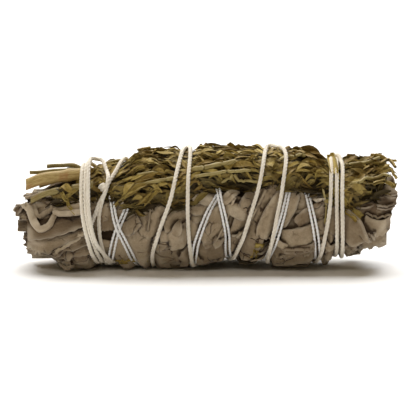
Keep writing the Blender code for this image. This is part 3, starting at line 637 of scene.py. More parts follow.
def leafSpots(order, x, angle, length, width, turn, outline, phase):
    # places of a leaf's grid on the unrolled bunch, with t along the leaf and s across it
    rows, columns = order.shape
    t = np.linspace(0, 1, rows)[:, None]
    s = np.linspace(-1, 1, columns)[None, :]
    knots, left, right = leafOutlines[outline]
    ragged = 1 + 0.07 * wobble(t * 4.2, phase) + 0.035 * wobble(t * 15, phase + 3)
    raggedToo = 1 + 0.07 * wobble(t * 4.2, phase + 7) + 0.035 * wobble(t * 15, phase + 11)
    half = np.where(s < 0, np.interp(t, knots, left) * ragged, np.interp(t, knots, right) * raggedToo)
    torn = 0.06 * wobble(s * 1.8, phase + 5) + 0.02 * wobble(s * 8, phase + 9)
    a = (t - 0.5 + torn * (2 * t - 1)) * length
    b = s * 0.5 * width * half + 0.04 * length * np.sin(3 * t + phase)
    slant = math.radians(turn)
    along = x + a * math.cos(slant) - b * math.sin(slant)
    up = a * math.sin(slant) + b * math.cos(slant)
    return t, s, along, angle + degreesOf(up, along, angle)


def draped(floor, passes):
    # a stiff sheet lowered onto a floor
    h = floor.copy()
    for _ in range(passes):
        soft = h.copy()
        soft[1:-1] = (h[:-2] + 2 * h[1:-1] + h[2:]) / 4
        soft[:, 1:-1] = (soft[:, :-2] + 2 * soft[:, 1:-1] + soft[:, 2:]) / 4
        h = np.maximum(soft, floor)
    return h


def creased(t, s, lines, phase):
    # sharp folds that run along a leaf
    relief = np.zeros(np.broadcast(t, s).shape)
    for k in range(lines):
        line = -0.75 + 1.5 * (k + 0.5) / lines + 0.16 * np.sin(2.6 * t + phase + 2.1 * k)
        depth = 0.5 + 0.5 * np.sin(4.1 * t + 1.7 * k + phase)
        relief += (1 if k % 2 else -0.7) * depth * np.exp(-np.abs(s - line) * 9)
    return relief


# which long edge of a leaf stands free, and how far
leafLean = {"LeftFront": -1.5, "LeftDark": -1.2, "LeftUnder": -1.2, "LeftTop": -1.0, "EndLow": -1.2,
            "RightLowest": -1.2, "RightLevel": -1.0, "EndTip": 1.2, "LongSlant": -1.0}


def laySage(name, x, angle, length, width, turn, outline, curl, folds, lift=0.0,
            thickness=sageLeaf["thickness"], stiff=24, rough=1.0):
    # a leaf laid on the pile: pressed flat under the cords, and creased and curled where it is free
    phase = 0.37 * x + 0.11 * angle
    rows = max(8, round(length / sageLeaf["spacing"]))
    columns = max(6, round(width / sageLeaf["spacing"])) + 1
    piece, order = patch(name, rows, columns)
    t, s, along, around = leafSpots(order, x, angle, length, width, turn, outline, phase)
    floor = sagePile.read(along, around)
    height = draped(floor, stiff)
    down = np.maximum(0, -np.sin(np.radians(around)))
    near = np.minimum(stringNear.read(along, around), threadNear.read(along, around) + 0.2)
    loose = free(near, 0.5, 2.4)
    crumple = 1 - 2.4 * np.abs(wobble(along / 3.2, around / 11, phase))
    relief = sageLeaf["crumple"] * rough * crumple + 0.42 * creased(t, s, folds, phase)
    relief += sageLeaf["fine"] * (1 - 2.4 * np.abs(wobble(along / 1.3, around / 5, phase + 2)))
    # the curled sides and tip, the rib, and the side that stands free
    edge = np.clip((np.abs(s) - 0.62) / 0.38, 0, 1) ** 1.6
    relief += curl * edge * (0.45 + 0.55 * np.sin(5 * t + phase * 2 + np.sign(s)))
    relief += 0.5 * curl * np.clip((t - 0.86) / 0.14, 0, 1) ** 1.5 * (0.6 + 0.4 * np.sin(3 * s + phase))
    relief -= 0.22 * np.exp(-(s / 0.07) ** 2)
    relief += 0.3 * wobble(along / 6.5, around / 24, phase + 4)
    lean = leafLean.get(name.replace("sageLeaf", ""), math.copysign(1, math.sin(5 * phase)))
    relief += sageLeaf["lean"] * (abs(lean) + s * lean) * (1 + 0.4 * np.sin(2 * t + phase))
    # fuller below, but not into the floor or past the cords
    puff = sageLeaf["puffBelow"] * down ** 8 if "Under" in name else sageLeaf["puffSide"] * down
    puff = puff * (1 - atLeftEnd(along))
    room = centreHeight(along) / np.maximum(down, 0.3) - heartRadius(along, around) - thickness
    height = height + (0.12 + 0.88 * loose) * relief + loose * (puff + lift) + thickness / 2
    height = np.minimum(np.maximum(height, floor + 0.05), np.maximum(room, floor + 0.1))
    widest = sageLeaf["widest"] + (sageLeaf["widestBelow"] - sageLeaf["widest"]) * np.clip(down / 0.5, 0, 1)
    over = height - (widest - heartRadius(along, around))
    height = np.where(over > 0, height - 0.8 * over, height)
    setGrid(piece, order, place(along, around, height))
    thickened(piece, thickness)
    tinted(piece, 0.5 + 0.5 * math.sin(12.9 * x + 4.1 * angle))
    fineX, fineA, fineH = (np.concatenate([
        f.ravel(), ((f[1:] + f[:-1]) / 2).ravel(), ((f[:, 1:] + f[:, :-1]) / 2).ravel()])
        for f in (along, around, height))
    sagePile.raiseTo(fineX, fineA, fineH + thickness / 2)
    return piece


# name, place along X, angle up from the front, length, width, turn, outline, curl, folds
leavesBelowThread = (
    ("UnderLeft", -38.5, 266, 22, 8, 3, "lance", 0.2, 3),
    ("UnderMiddleLeft", -11.5, 269, 25, 8, -3, "lance", 0.2, 3),
    ("UnderRight", 28.0, 270, 19, 8, -4, "lance", 0.2, 3),
    ("LeftDark", -42.6, 6, 20, 8, 6, "broad", 0.6, 2),
    ("LeftUnder", -38.6, -46, 22, 8, 2, "torn", 0.5, 4),
    ("LeftTop", -47.5, 40, 16, 7, 16, "broad", 1.2, 2),
    ("LeftFront", -42.3, -20, 20, 10, -5, "torn", 0.7, 3),
    ("LeftTongue", -38.0, 29, 13, 5, -10, "tongue", 0.9, 2),
    ("BandBrown", -27.5, 14, 14, 7, 80, "torn", 0.5, 3),
    ("FrontBroad", -19.5, -20, 20, 12, 42, "broad", 0.3, 2),
    ("FrontSquare", -15.0, 4, 13, 9, 84, "torn", 0.2, 1),
    ("FrontLow", -10.5, -36, 13, 9, 100, "tongue", 0.3, 1),
    ("FrontSmall", -8.6, 1, 9, 6, 28, "tongue", 0.6, 2),
    ("FrontPointed", 28.2, 6, 15, 8, 40, "tongue", 0.5, 1),
    ("MiddleLevel", -2.5, -14, 17, 7, 10, "torn", 0.5, 3),
    ("MiddleHigh", 0.6, 18, 13, 7, 30, "broad", 0.5, 2),
    ("MiddleLow", 0.0, -46, 15, 7, 4, "torn", 0.4, 3),
    ("MiddleSlant", 5.5, -5, 18, 9, 45, "broad", 0.5, 3),
    ("LongSlant", 14.0, -4, 27, 11, 62, "broad", 0.8, 4),
    ("SecondSlant", 21.5, 7, 18, 8, 62, "broad", 0.7, 3),
    ("RightDark", 32.5, -3, 11, 8, 20, "torn", 0.6, 2),
    ("RightLowest", 29.5, -42, 24, 8, 10, "torn", 0.5, 4),
    ("RightLevel", 30.5, -20, 16, 7, 12, "torn", 0.5, 2),
    ("EndLow", 44.5, -40, 18, 7, 8, "torn", 0.6, 3),
    ("EndTip", 46.5, -8, 13, 9, 4, "tongue", 1.2, 2),
    ("EndFold", 45.5, 24, 12, 5, 8, "tongue", 1.0, 2),
    ("BackLeft", -42.0, 190, 25, 11, 6, "lance", 0.8, 3),
    ("BackLeftEnd", -46.0, 224, 17, 8, -4, "broad", 0.8, 3),
    ("TopLeftEnd", -45.5, 122, 17, 9, 8, "broad", 0.9, 3),
    ("TopRightEnd", 47.0, 112, 13, 8, -6, "broad", 0.9, 3),
    ("BackLeftLow", -22.0, 214, 24, 11, -30, "lance", 0.7, 3),
    ("BackMiddle", -3.0, 204, 26, 11, 16, "broad", 0.7, 4),
    ("BackRight", 17.0, 212, 25, 11, -38, "lance", 0.7, 3),
    ("BackRightEnd", 38.0, 204, 25, 10, 12, "broad", 0.9, 3),
    ("BackUnder", 3.0, 232, 22, 8, -6, "torn", 0.5, 3),
)
leafOverThread = ("EndPointed", 42.6, -14, 14, 8, -24, "pointed", 0.5, 2)
leafTints = {"LeftFront": 1.35, "LeftDark": 1.25, "BandBrown": 1.3, "MiddleLow": 1.1, "EndTip": 1.3,
             "RightDark": 1.4, "EndLow": 0.9, "LongSlant": 0.7, "FrontSquare": 0.1, "FrontBroad": 0.2}
# the leaves packed under those, which show in the gaps
packedLeaves = {"count": 66, "length": (15, 26), "width": (6, 10), "turn": 26, "reach": 50.0,
                "angles": (165, 400), "ends": 52.5, "shorterBelow": 5.0}


# Rolled and folded leaf ends that fill the round of the bunch at each end
leafEnds = {"count": 34, "reach": 9.6, "recess": 5.0, "radius": (1.2, 2.5), "length": (3.2, 6.2),
            "turns": (1.1, 1.8), "squash": (0.45, 0.95), "grid": (16, 34), "root": 9}


def barAlong(name, left, right, sections, sides):
    # a round bar along X of radius 1, extruded ring by ring from a filled circle
    bpy.ops.mesh.primitive_circle_add(vertices=sides, radius=1.0, fill_type="NGON",
                                      rotation=(0, math.radians(90), 0))
    piece = named(name)
    bpy.ops.object.transform_apply(location=True, rotation=True, scale=True)
    bpy.ops.object.mode_set(mode="EDIT")
    bpy.ops.mesh.select_all(action="SELECT")
    section = ((right - left) / sections, 0, 0)
    for _ in range(sections):
        bpy.ops.mesh.extrude_region_move(TRANSFORM_OT_translate={"value": section})
    bpy.ops.mesh.select_all(action="SELECT")
    bpy.ops.mesh.normals_make_consistent(inside=False)
    bpy.ops.object.mode_set(mode="OBJECT")
    points = pointsOf(piece)
    points[:, 0] += left
    setPoints(piece, points)
    return piece


def heartCore():
    # the solid middle of the heart, folded like packed leaves
    recess = leafEnds["recess"]
    piece = barAlong("sageHeart", bunch["ends"][0] + recess, bunch["ends"][1] - recess, 48, 72)
    flat = pointsOf(piece)
    x = flat[:, 0]
    angle = np.degrees(np.arctan2(flat[:, 2], -flat[:, 1]))
    fold = 0.5 * wobble(x / 9, angle / 14) + 0.35 * np.sin(np.radians(angle * 17 + 6 * x))
    packed = np.maximum(-1.3, packedHeight(x, angle) - 0.9)
    setPoints(piece, place(x, angle, packed + fold))
    tinted(piece, 1.6)
    return piece


def leafRoll(k, side, front, up, radius, length, start, turns, squash):
    # a leaf end rolled up on itself, standing out of the heart
    rows, columns = leafEnds["grid"]
    piece, order = patch(f"roll{k}", rows, columns)
    t = np.linspace(0, 1, rows)[:, None]
    q = np.linspace(0, 1, columns)[None, :]
    turn = np.radians(start + 360 * turns * q) + 0.25 * wobble(t * 2, q * 3, k * 3.1)
    out = radius * (1 - 0.74 * q ** 0.85) * (0.94 + 0.1 * t) + 0.22 * wobble(t * 2.5, q * 5, k * 1.7)
    y, z = out * np.cos(turn), out * np.sin(turn) * squash
    lean = math.radians(47 * k)
    y, z = y * math.cos(lean) - z * math.sin(lean), y * math.sin(lean) + z * math.cos(lean)
    ragged = 0.8 * wobble(q * 4, k) + 0.35 * wobble(q * 13, k + 5)
    x = -leafEnds["root"] + (length + leafEnds["root"]) * t + ragged * t ** 4
    base = bunch["ends"][0] if side < 0 else bunch["ends"][1]
    shift = bunch["shift"]
    setGrid(piece, order, np.stack(np.broadcast_arrays(
        base + side * x + shift[0], -front - y + shift[1], centreHeight(base) + up + z), -1) * mm)
    thickened(piece, sageLeaf["thin"])
    tinted(piece, 0.5 + 0.5 * math.sin(7.7 * k))
    return piece


# Cut sage stems that stand out of the heart at the left: to the front, up, radius and reach
sageStems = ((4.0, 3.8, 1.8, 8.2), (2.6, -1.2, 1.8, 7.6), (-2.2, 0.6, 1.2, 7.4), (-5.4, -0.4, 1.0, 6.6),
             (0.4, -4.4, 0.9, 6.0))


# the cut face of a stem, in shares of its radius
pith = {"rim": 0.28, "slope": 0.2, "sunk": 0.3}


def cutEnd(piece):
    # the cut face at a stem's left end, inset and sunk a little for its pith
    chosen(piece)
    bpy.ops.object.mode_set(mode="EDIT")
    bpy.ops.mesh.select_all(action="DESELECT")
    bpy.ops.object.mode_set(mode="OBJECT")
    ends = [f for f in piece.data.polygons if len(f.vertices) > 4]
    far = min(ends, key=lambda f: f.center[0])
    for face in piece.data.polygons:
        face.select = face.index == far.index
    bpy.ops.object.mode_set(mode="EDIT")
    radius = math.sqrt(far.area / math.pi)
    bpy.ops.mesh.select_mode(type="FACE")
    bpy.ops.mesh.inset(thickness=radius * pith["rim"], depth=0.0)
    bpy.ops.mesh.inset(thickness=radius * pith["slope"], depth=-radius * pith["sunk"])
    bpy.ops.mesh.select_mode(type="VERT")
    bpy.ops.object.mode_set(mode="OBJECT")


def wrapUv(piece, left, centreOf):
    # a map of a stem's surface: along it, and round it
    layer = piece.data.uv_layers.get("UVMap") or piece.data.uv_layers.new(name="UVMap")
    points = pointsOf(piece)
    centres = centreOf(points[:, 0])
    along = (points[:, 0] - left) / (stemMap * mm)
    around = np.abs(np.arctan2(points[:, 2] - centres[:, 1], points[:, 1] - centres[:, 0]) / math.tau)
    index = np.empty(len(piece.data.loops), int)
    piece.data.loops.foreach_get("vertex_index", index)
    layer.data.foreach_set("uv", np.stack([along[index], around[index]], 1).ravel())


def sageStem(k, front, up, radius, reach):
    # a cut stem that stands out of the heart at the left
    left, right = bunch["ends"][0] - reach, bunch["ends"][0] + 4
    piece = barAlong(f"sageStem{k}", left, right, 10, 14)
    flat = pointsOf(piece)
    x = flat[:, 0]
    turn = np.arctan2(flat[:, 2], flat[:, 1])
    size = radius * (1 + 0.07 * wobble(x / 3, k) + 0.06 * np.cos(3 * turn + k))
    rise = centreHeight(bunch["ends"][0]) + up + 0.03 * (right - x)
    shift = bunch["shift"]
    along = x + shift[0] + 0.3 * wobble(turn, k + 2)
    across = -front + size * np.cos(turn) + shift[1]
    setPoints(piece, np.stack([along, across, rise + size * np.sin(turn)], 1) * mm)
    middle = np.array([(-front + shift[1]) * mm, np.mean(rise) * mm])
    wrapUv(piece, left * mm, lambda at: np.tile(middle, (len(at), 1)))
    cutEnd(piece)
    tinted(piece, 0.4)
    return piece


def nodeLeaf(name, *spec):
    # a leaf that replaces its own CAD node
    leaf = laySage("sageLeaf" + name, *spec)
    finished(leaf, "whiteSage", "white_sage", nodeName("sageLeaf" + name))
    if name in leafTints:
        tinted(leaf, leafTints[name])


def makeSage():
    packed = []
    for k in range(packedLeaves["count"]):
        x = rng.uniform(-packedLeaves["reach"], packedLeaves["reach"])
        angle = rng.uniform(*packedLeaves["angles"])
        length, width = rng.uniform(*packedLeaves["length"]), rng.uniform(*packedLeaves["width"])
        down = max(0.0, -math.sin(math.radians(angle)))
        ends = packedLeaves["ends"] - packedLeaves["shorterBelow"] * down - rng.uniform(0, 3)
        x = float(np.clip(x, -ends + length / 2, ends - length / 2))
        outline = ("lance", "broad", "torn", "tongue")[k % 4]
        turn = rng.uniform(-1, 1) * packedLeaves["turn"]
        packed.append(laySage(f"packed{k}", x, angle, length, width, turn, outline, 0.5, 3,
                              thickness=sageLeaf["thin"]))
        if k % 3 == 0:
            sagePile.high = np.minimum(sagePile.high, np.maximum(filled, packing["sunk"]) + 1.0)
    rolls = []
    for k in range(2 * leafEnds["count"]):
        side = -1 if k % 2 else 1
        away = leafEnds["reach"] * math.sqrt((k // 2 + 0.4) / leafEnds["count"])
        turn = math.radians(137.5 * (k // 2) + 40 * side)
        radius, length, turns, squash = (
            rng.uniform(*leafEnds[n]) for n in ("radius", "length", "turns", "squash"))
        length *= 1 - 0.07 * max(0.0, away - 4.0)
        rolls.append(leafRoll(k, side, away * math.cos(turn), away * math.sin(turn), radius, length,
                              rng.uniform(0, 360), turns, squash))
    heart = joined("sageHeart", [heartCore()] + rolls)
    finished(heart, "whiteSage", "white_sage", "white_sage_heart")
    finished(joined("sagePackedLeaves", packed), "whiteSage", "white_sage")
    stems = joined("sageCutStems", [sageStem(k, *spec) for k, spec in enumerate(sageStems)])
    finished(stems, "sageStem", "white_sage")
    for spec in leavesBelowThread:
        nodeLeaf(*spec)
    print("sage laid", round(float(sagePile.high.max()), 2))


makeSage()


def frontSpot(x, up, pile):
    # the angle of a point seen from the front at this height, on top of the pile
    middle = float(centreHeight(x)) * math.cos(math.radians(camera["elevation"]))
    angle = 20.0
    for _ in range(4):
        out = float(roundRadius(x) + pile.read(x, angle))
        angle = camera["elevation"] + math.degrees(math.asin(max(-1.0, min(1.0, (up - middle) / out))))
    return angle


def seenLine(line, step, fewest, pile):
    # even steps along a line that is given as seen from the front: along X and up
    line = np.array(line, float)
    far = np.concatenate([[0], np.cumsum(np.hypot(np.diff(line[:, 0]), np.diff(line[:, 1])))])
    at = np.linspace(0, far[-1], max(fewest, round(far[-1] / step)))
    x, up = curveThrough(far, line[:, 0])(at), curveThrough(far, line[:, 1])(at)
    return at, x, np.array([frontSpot(a, b, pile) for a, b in zip(x, up)])


def rolledEdge(name, line, radius, start, sweepAngle, shrink, rise, pile, thickness):
    # a leaf edge rolled along a line seen from the front, of one radius or three along it
    _, x, angle = seenLine(line, 0.4, 8, pile)
    rows = len(x)
    columns = max(9, round(abs(sweepAngle) / 18))
    height = evened(pile.softened(3).read(x, angle), 6)
    middle = place(x, angle, height + rise + np.max(radius)) / mm
    ahead = unit(np.gradient(middle, axis=0))
    turn = np.radians(angle)
    outward = np.stack([np.zeros(rows), -np.cos(turn), np.sin(turn)], 1)
    outward = unit(outward - ahead * (outward * ahead).sum(1)[:, None])
    side = np.cross(outward, ahead)
    piece, order = patch(name, rows, columns)
    t, q = np.linspace(0, 1, rows)[:, None], np.linspace(0, 1, columns)[None, :]
    radius = radius if np.ndim(radius) == 0 else curveThrough((0, 0.5, 1), radius)(t)
    bend = np.radians(start + sweepAngle * q) + 0.3 * wobble(t * 4, q * 3, np.max(radius) * 7 + x[0])
    out = radius * (1 - shrink * q) * (0.9 + 0.14 * np.sin(3 * t + x[0]))
    out = (out + 0.16 * wobble(t * 7, q * 5, x[0]))[..., None]
    rolled = np.cos(bend)[..., None] * side[:, None] + np.sin(bend)[..., None] * outward[:, None]
    ragged = 0.5 * wobble(q * 4, x[0]) + 0.25 * wobble(q * 12, x[0] + 4)
    points = middle[:, None] + out * rolled + ahead[:, None] * (ragged * (2 * t - 1) ** 5)[..., None]
    points = points * mm
    points[..., 2] = np.maximum(points[..., 2], clearOf["edges"])
    setGrid(piece, order, points)
    thickened(piece, thickness)
    return piece


# Rolled leaf edges seen from the front: the line along X and up, radius, start, sweep, how much
# it closes up, how far its underside stands over the leaves, and its shade
rolledEdges = {
    "lip": (((-54.2, 17.6), (-52.2, 15.6), (-50.6, 12.6), (-49.0, 11.2), (-46.8, 12.0), (-45.0, 14.8),
             (-43.6, 16.6)), (0.8, 1.4, 0.7), 35, 235, 0.1, 0.2, 0.1),
    "lipIn": (((-51.2, 17.4), (-49.2, 14.6), (-47.0, 16.2), (-45.0, 17.6)), 1.0, 60, 260, 0.3, -0.3, 0.4),
    # the hollow is a small rolled leaf sunk in the leaves and painted dark, as the shade inside the hollow
    "hollow": (((-47.4, 18.6), (-44.6, 18.0)), 0.7, 60, 260, 0.3, -0.4, 2.0),
    "scroll": (((-45.0, 15.8), (-40.0, 16.2), (-35.8, 17.0)), 2.0, 100, 620, 0.75, 0.2, -0.3),
    "shoulder": (((-53.6, 19.0), (-48.0, 20.2), (-43.0, 19.6), (-38.0, 18.2)), 1.1, 250, 260, 0.3, -0.3,
                 0.1),
    "petiole": (((-34.4, 11.4), (-39.0, 7.8), (-45.2, 3.6)), 0.75, 180, 330, 0.2, 0.0, -0.1),
    "lowEnd": (((-53.0, 5.0), (-51.2, 4.6)), 0.9, 90, 560, 0.7, -0.2, 0.9),
    "paleBand": (((44.2, 18.4), (47.4, 18.3), (51.6, 20.4)), 1.3, 160, 240, 0.2, -0.2, -0.4),
    "redLow": (((51.0, 17.6), (53.6, 17.4), (56.2, 18.2)), 0.6, 180, 260, 0.2, 0.8, 1.7),
    "redHigh": (((51.4, 20.4), (53.6, 20.8), (56.4, 20.4)), 0.5, 180, 240, 0.2, 1.2, 1.8),
    "foldRim": (((47.6, 15.6), (50.0, 14.5), (52.8, 14.4), (55.1, 15.8)), 0.5, 200, 240, 0.2, 0.2, 0.9),
    "twigHigh": (((47.8, 11.0), (49.8, 9.4)), 0.35, 0, 350, 0.1, 2.4, 1.6),
    "twigLow": (((47.4, 9.6), (50.4, 10.6)), 0.3, 0, 350, 0.1, 2.0, 1.6),
    "middleEdge": (((17.8, 22.4), (13.4, 14.0), (8.8, 3.6)), 0.55, 200, 260, 0.2, -0.2, 0.2),
    "secondEdge": (((8.4, 20.0), (5.4, 12.0), (2.6, 7.0)), 0.45, 200, 260, 0.2, -0.2, 0.2),
    "cornerEdge": (((-16.4, 18.4), (-17.4, 10.4)), 0.5, 200, 240, 0.2, -0.2, 0.3),
    "lowBrown": (((23.4, 4.8), (30.0, 5.2), (35.4, 6.6)), 0.6, 180, 280, 0.3, -0.2, 1.4),
    "lowPale": (((22.4, 2.6), (29.0, 2.8), (35.0, 3.8)), 0.5, 180, 280, 0.3, -0.2, 0.2),
}
# Small leaves of their own: place, angle, length, width, turn, outline, lift and shade
looseLeaves = (
    (55.2, 34, 6.4, 2.6, 84, "lance", 2.6, 1.9), (-55.4, 40, 3.4, 2.6, 50, "pointed", 0.8, 1.8),
    (-26.4, 18, 4.2, 2.4, 10, "shard", 0.5, 1.8), (30.0, -30, 6.0, 2.2, 14, "torn", 0.5, 1.6),
)
# Flat leaf layers seen at the ends: upper and lower edge as (x, up) from the front, how far the
# upper and the lower edge stand over the leaves, and the shade
leafSheets = {
    "lowSecond": (((-46.7, 3.4), (-43.0, 4.0), (-39.2, 4.8), (-32.3, 6.2)),
                  ((-47.3, 2.4), (-43.1, 2.2), (-37.7, 2.8), (-32.3, 4.0)), (-0.2, 1.2), 1.2),
    "lowFirst": (((-48.2, 4.4), (-43.1, 6.0), (-37.7, 8.0), (-32.9, 9.6)),
                 ((-49.1, 3.2), (-43.7, 3.6), (-37.7, 5.2), (-32.6, 6.8)), (-0.3, 1.7), 1.15),
    "facePale": (((-52.9, 8.7), (-46.7, 9.8), (-40.0, 11.6), (-34.7, 13.4)),
                 ((-53.3, 3.8), (-48.2, 4.2), (-43.7, 5.8), (-34.1, 10.4)), (-0.4, 2.0), 0.85),
    "faceDark": (((-53.4, 16.2), (-48.0, 15.6), (-42.0, 15.8), (-35.4, 16.2)),
                 ((-52.7, 8.1), (-46.7, 8.8), (-40.7, 10.3), (-35.0, 12.4)), (-0.2, 2.4), 1.5),
    "rightFloor": (((39.8, 6.9), (44.0, 6.6), (49.4, 7.5), (53.6, 7.8)),
                   ((39.8, 4.2), (44.0, 4.5), (48.8, 5.4), (52.9, 5.7)), (-0.2, 1.2), 0.2),
    "rightLow": (((40.4, 9.0), (45.2, 8.4), (50.0, 9.0), (54.2, 9.9)),
                 ((40.4, 6.3), (44.6, 6.3), (49.4, 6.9), (54.2, 7.8)), (-0.3, 2.0), 1.35),
    "redEnd": (((50.8, 22.6), (53.0, 23.4), (55.2, 23.0), (57.0, 21.6)),
               ((51.2, 17.8), (53.2, 17.4), (55.2, 17.6), (56.8, 18.4)), (1.2, 1.6), 1.75),
    "greyEnd": (((50.6, 18.2), (52.4, 18.0), (54.2, 17.6), (55.6, 17.4)),
                ((50.6, 15.0), (52.2, 14.8), (54.0, 14.8), (55.2, 15.4)), (0.2, 0.9), 1.1),
    # the inside of the fold lies lower and is painted dark, as the shade inside the fold
    "foldInside": (((47.3, 18.2), (50.0, 18.4), (52.6, 18.2), (54.4, 17.4)),
                   ((47.3, 13.8), (50.0, 13.4), (52.6, 13.4), (54.2, 13.8)), (0.0, -0.4), 1.9),
    "foldOutside": (((47.6, 15.4), (50.0, 14.3), (52.8, 14.2), (55.1, 15.6)),
                    ((46.6, 10.4), (49.2, 9.0), (52.4, 9.2), (54.8, 11.4)), (1.5, 0.6), 0.3),
}
sheet = {"spacing": 0.45, "thickness": 0.42}


def leafSheet(name, upper, lower, rises):
    # a leaf layer between two lines seen from the front, laid over the pile
    upper, lower = np.array(upper), np.array(lower)
    rows = round((upper[-1, 0] - upper[0, 0]) / sheet["spacing"])
    columns = max(7, round(abs(upper[1, 1] - lower[1, 1]) / sheet["spacing"]))
    t, q = np.linspace(0, 1, rows), np.linspace(0, 1, columns)[None, :]
    (topX, topUp), (lowX, lowUp) = (
        [curveThrough(np.linspace(0, 1, 4), edge[:, k])(t)[:, None] for k in (0, 1)]
        for edge in (upper, lower))
    x, up = topX + (lowX - topX) * q, topUp + (lowUp - topUp) * q
    phase = float(x.mean() + up.mean())
    x = x + 0.35 * wobble(up * 1.4, phase) * np.abs(2 * t[:, None] - 1) ** 6
    up = up + 0.3 * wobble(x * 0.7, phase + 1) * q ** 4
    around = sagePile.softened(12)
    around.high = np.maximum(around.high, sagePile.widened().softened(4).high - 0.25)
    around = around.softened(2)
    angle = np.array([[frontSpot(a, b, around) for a, b in zip(*line)] for line in zip(x, up)])
    height = around.read(x, angle) + rises[0] + (rises[1] - rises[0]) * q ** 1.5
    height = height + 0.22 * wobble(x / 3.4, up / 1.6, phase) + 0.1 * wobble(x / 1.2, up * 2.0, phase + 3)
    height = height + 0.3 * creased(t[:, None], 2 * q - 1, 2, phase)
    height = np.maximum(height, 0.15)
    piece, order = patch(name, rows, columns)
    setGrid(piece, order, place(x, angle, height))
    thickened(piece, sheet["thickness"])
    sagePile.raiseTo(x.ravel(), angle.ravel(), (height + 0.2).ravel())
    return piece


def makeRolledEdges():
    made = []
    for name, (upper, lower, rises, tint) in leafSheets.items():
        piece = leafSheet(name, upper, lower, rises)
        ends = np.abs(pointsOf(piece)[:, 0] / mm - 0.64) > (53.2 if upper[0][0] < 0 else 53.8)
        tinted(piece, np.where(ends, 1.7, tint))
        made.append(piece)
    for name, (line, radius, start, sweepAngle, shrink, rise, tint) in rolledEdges.items():
        piece = rolledEdge(name, line, radius, start, sweepAngle, shrink, rise, sagePile, sageLeaf["thin"])
        tinted(piece, tint)
        made.append(piece)
    for piece in made:
        x, angle, height = placeOf(pointsOf(piece))
        sagePile.raiseTo(x, angle, height)
    finished(joined("sageRolledEdges", made), "whiteSage", "white_sage")


# Small flakes and broken bits lying on the leaves
flakes = {"count": 40, "length": (2.4, 7.5), "width": (1.4, 3.8), "reach": 46.0, "turn": 80,
          "front": (-62, 42), "back": (185, 235), "thickness": 0.4}


def makeFlakes():
    pieces = []
    for k in range(flakes["count"]):
        x = rng.uniform(-flakes["reach"], flakes["reach"])
        angle = rng.uniform(*flakes["front" if k % 3 else "back"])
        length, width = rng.uniform(*flakes["length"]), rng.uniform(*flakes["width"])
        outline = ("shard", "torn", "pointed", "shard")[k % 4]
        turn = rng.uniform(-flakes["turn"], flakes["turn"])
        pieces.append(laySage(f"flake{k}", x, angle, length, width, turn, outline, 0.4, 1,
                              thickness=flakes["thickness"], stiff=70, rough=0.3))
    for k, (x, angle, length, width, turn, outline, lift, shade) in enumerate(looseLeaves):
        pieces.append(laySage(f"loose{k}", x, angle, length, width, turn, outline, 0.8, 2, lift,
                              flakes["thickness"]))
        tinted(pieces[-1], shade)
    finished(joined("sageFlakes", pieces), "whiteSage", "white_sage")


makeFlakes()
makeRolledEdges()

# Cords, as points this far apart along them
cordStep = 0.9
# where a cord crosses itself: how steeply it rises, and how far along it counts as another turn
crossing = {"slope": 0.32, "between": 9}


def tautHeights(path, floor, cord):
    # a stretched cord's heights: it lies on the pile, and nearly straight over what is hollow
    low = floor.read(path[:, 0], path[:, 1]) + cord["diameter"] / 2 - cord["sinksIn"]
    h = low.copy()
    sag = cordStep ** 2 / (2 * cordRadius)
    for _ in range(160):
        h[1:-1] = np.maximum(low[1:-1], 0.5 * (h[:-2] + h[2:]) - sag)
    return evened(h, 3)


def overItself(path, heights, apart):
    # raises a cord where it crosses the turns that were wound before it, in long low humps
    heights = heights.copy()
    guard = round(crossing["between"] / cordStep)
    slope = crossing["slope"] * cordStep
    for i in range(guard, len(path)):
        old = path[:i - guard]
        turn = (old[:, 1] - path[i, 1] + 180) % 360 - 180
        off = np.hypot(old[:, 0] - path[i, 0], np.radians(turn) * cordRadius)
        near = off < apart
        if near.any():
            over = heights[:i - guard][near] + np.sqrt(apart ** 2 - off[near] ** 2)
            heights[i] = max(heights[i], over.max())
    for i in range(1, len(path)):
        heights[i] = max(heights[i], heights[i - 1] - slope)
    for i in range(len(path) - 2, -1, -1):
        heights[i] = max(heights[i], heights[i + 1] - slope)
    return heights


def acrossLine(line):
    # two directions square to a line and to each other, at each of its points
    tangent = unit(np.gradient(line, axis=0))
    across = unit(np.cross(tangent, [1.0, 0.05, 0.1]))
    return across, np.cross(tangent, across)


def sweep(paths, radius, sides):
    # tubes with round ends along the paths, and a map along and round each
    points, faces, maps = [], [], []
    base = 0
    for path in paths:
        n = len(path)
        across, over = acrossLine(path)
        turn = math.tau * np.arange(sides) / sides
        ring = across[:, None] * np.cos(turn)[None, :, None] + over[:, None] * np.sin(turn)[None, :, None]
        size = np.full(n, radius)
        size[[0, -1]] *= 0.55
        points.append((path[:, None] + ring * size[:, None, None]).reshape(-1, 3))
        far = lengthsAlong(path)
        i, k = (g.ravel() for g in np.meshgrid(np.arange(n - 1), np.arange(sides), indexing="ij"))
        corners = ((i, k), (i + 1, k), (i + 1, k + 1), (i, k + 1))
        faces += (np.stack([a * sides + b % sides for a, b in corners], 1) + base).tolist()
        maps.append(np.stack([m for a, b in corners for m in (far[a], b / sides)], 1).reshape(-1, 2))
        faces.append([base + s for s in range(sides)])
        faces.append([base + (n - 1) * sides + s for s in range(sides - 1, -1, -1)])
        maps.append(np.zeros((2 * sides, 2)))
        base += n * sides
    return np.concatenate(points), faces, np.concatenate(maps)


def meshPiece(name, points, faces, uv):
    mesh = bpy.data.meshes.new(name)
    mesh.from_pydata(points.tolist(), [], faces)
    mesh.uv_layers.new(name="UVMap").data.foreach_set("uv", uv.ravel())
    return linked(name, mesh)


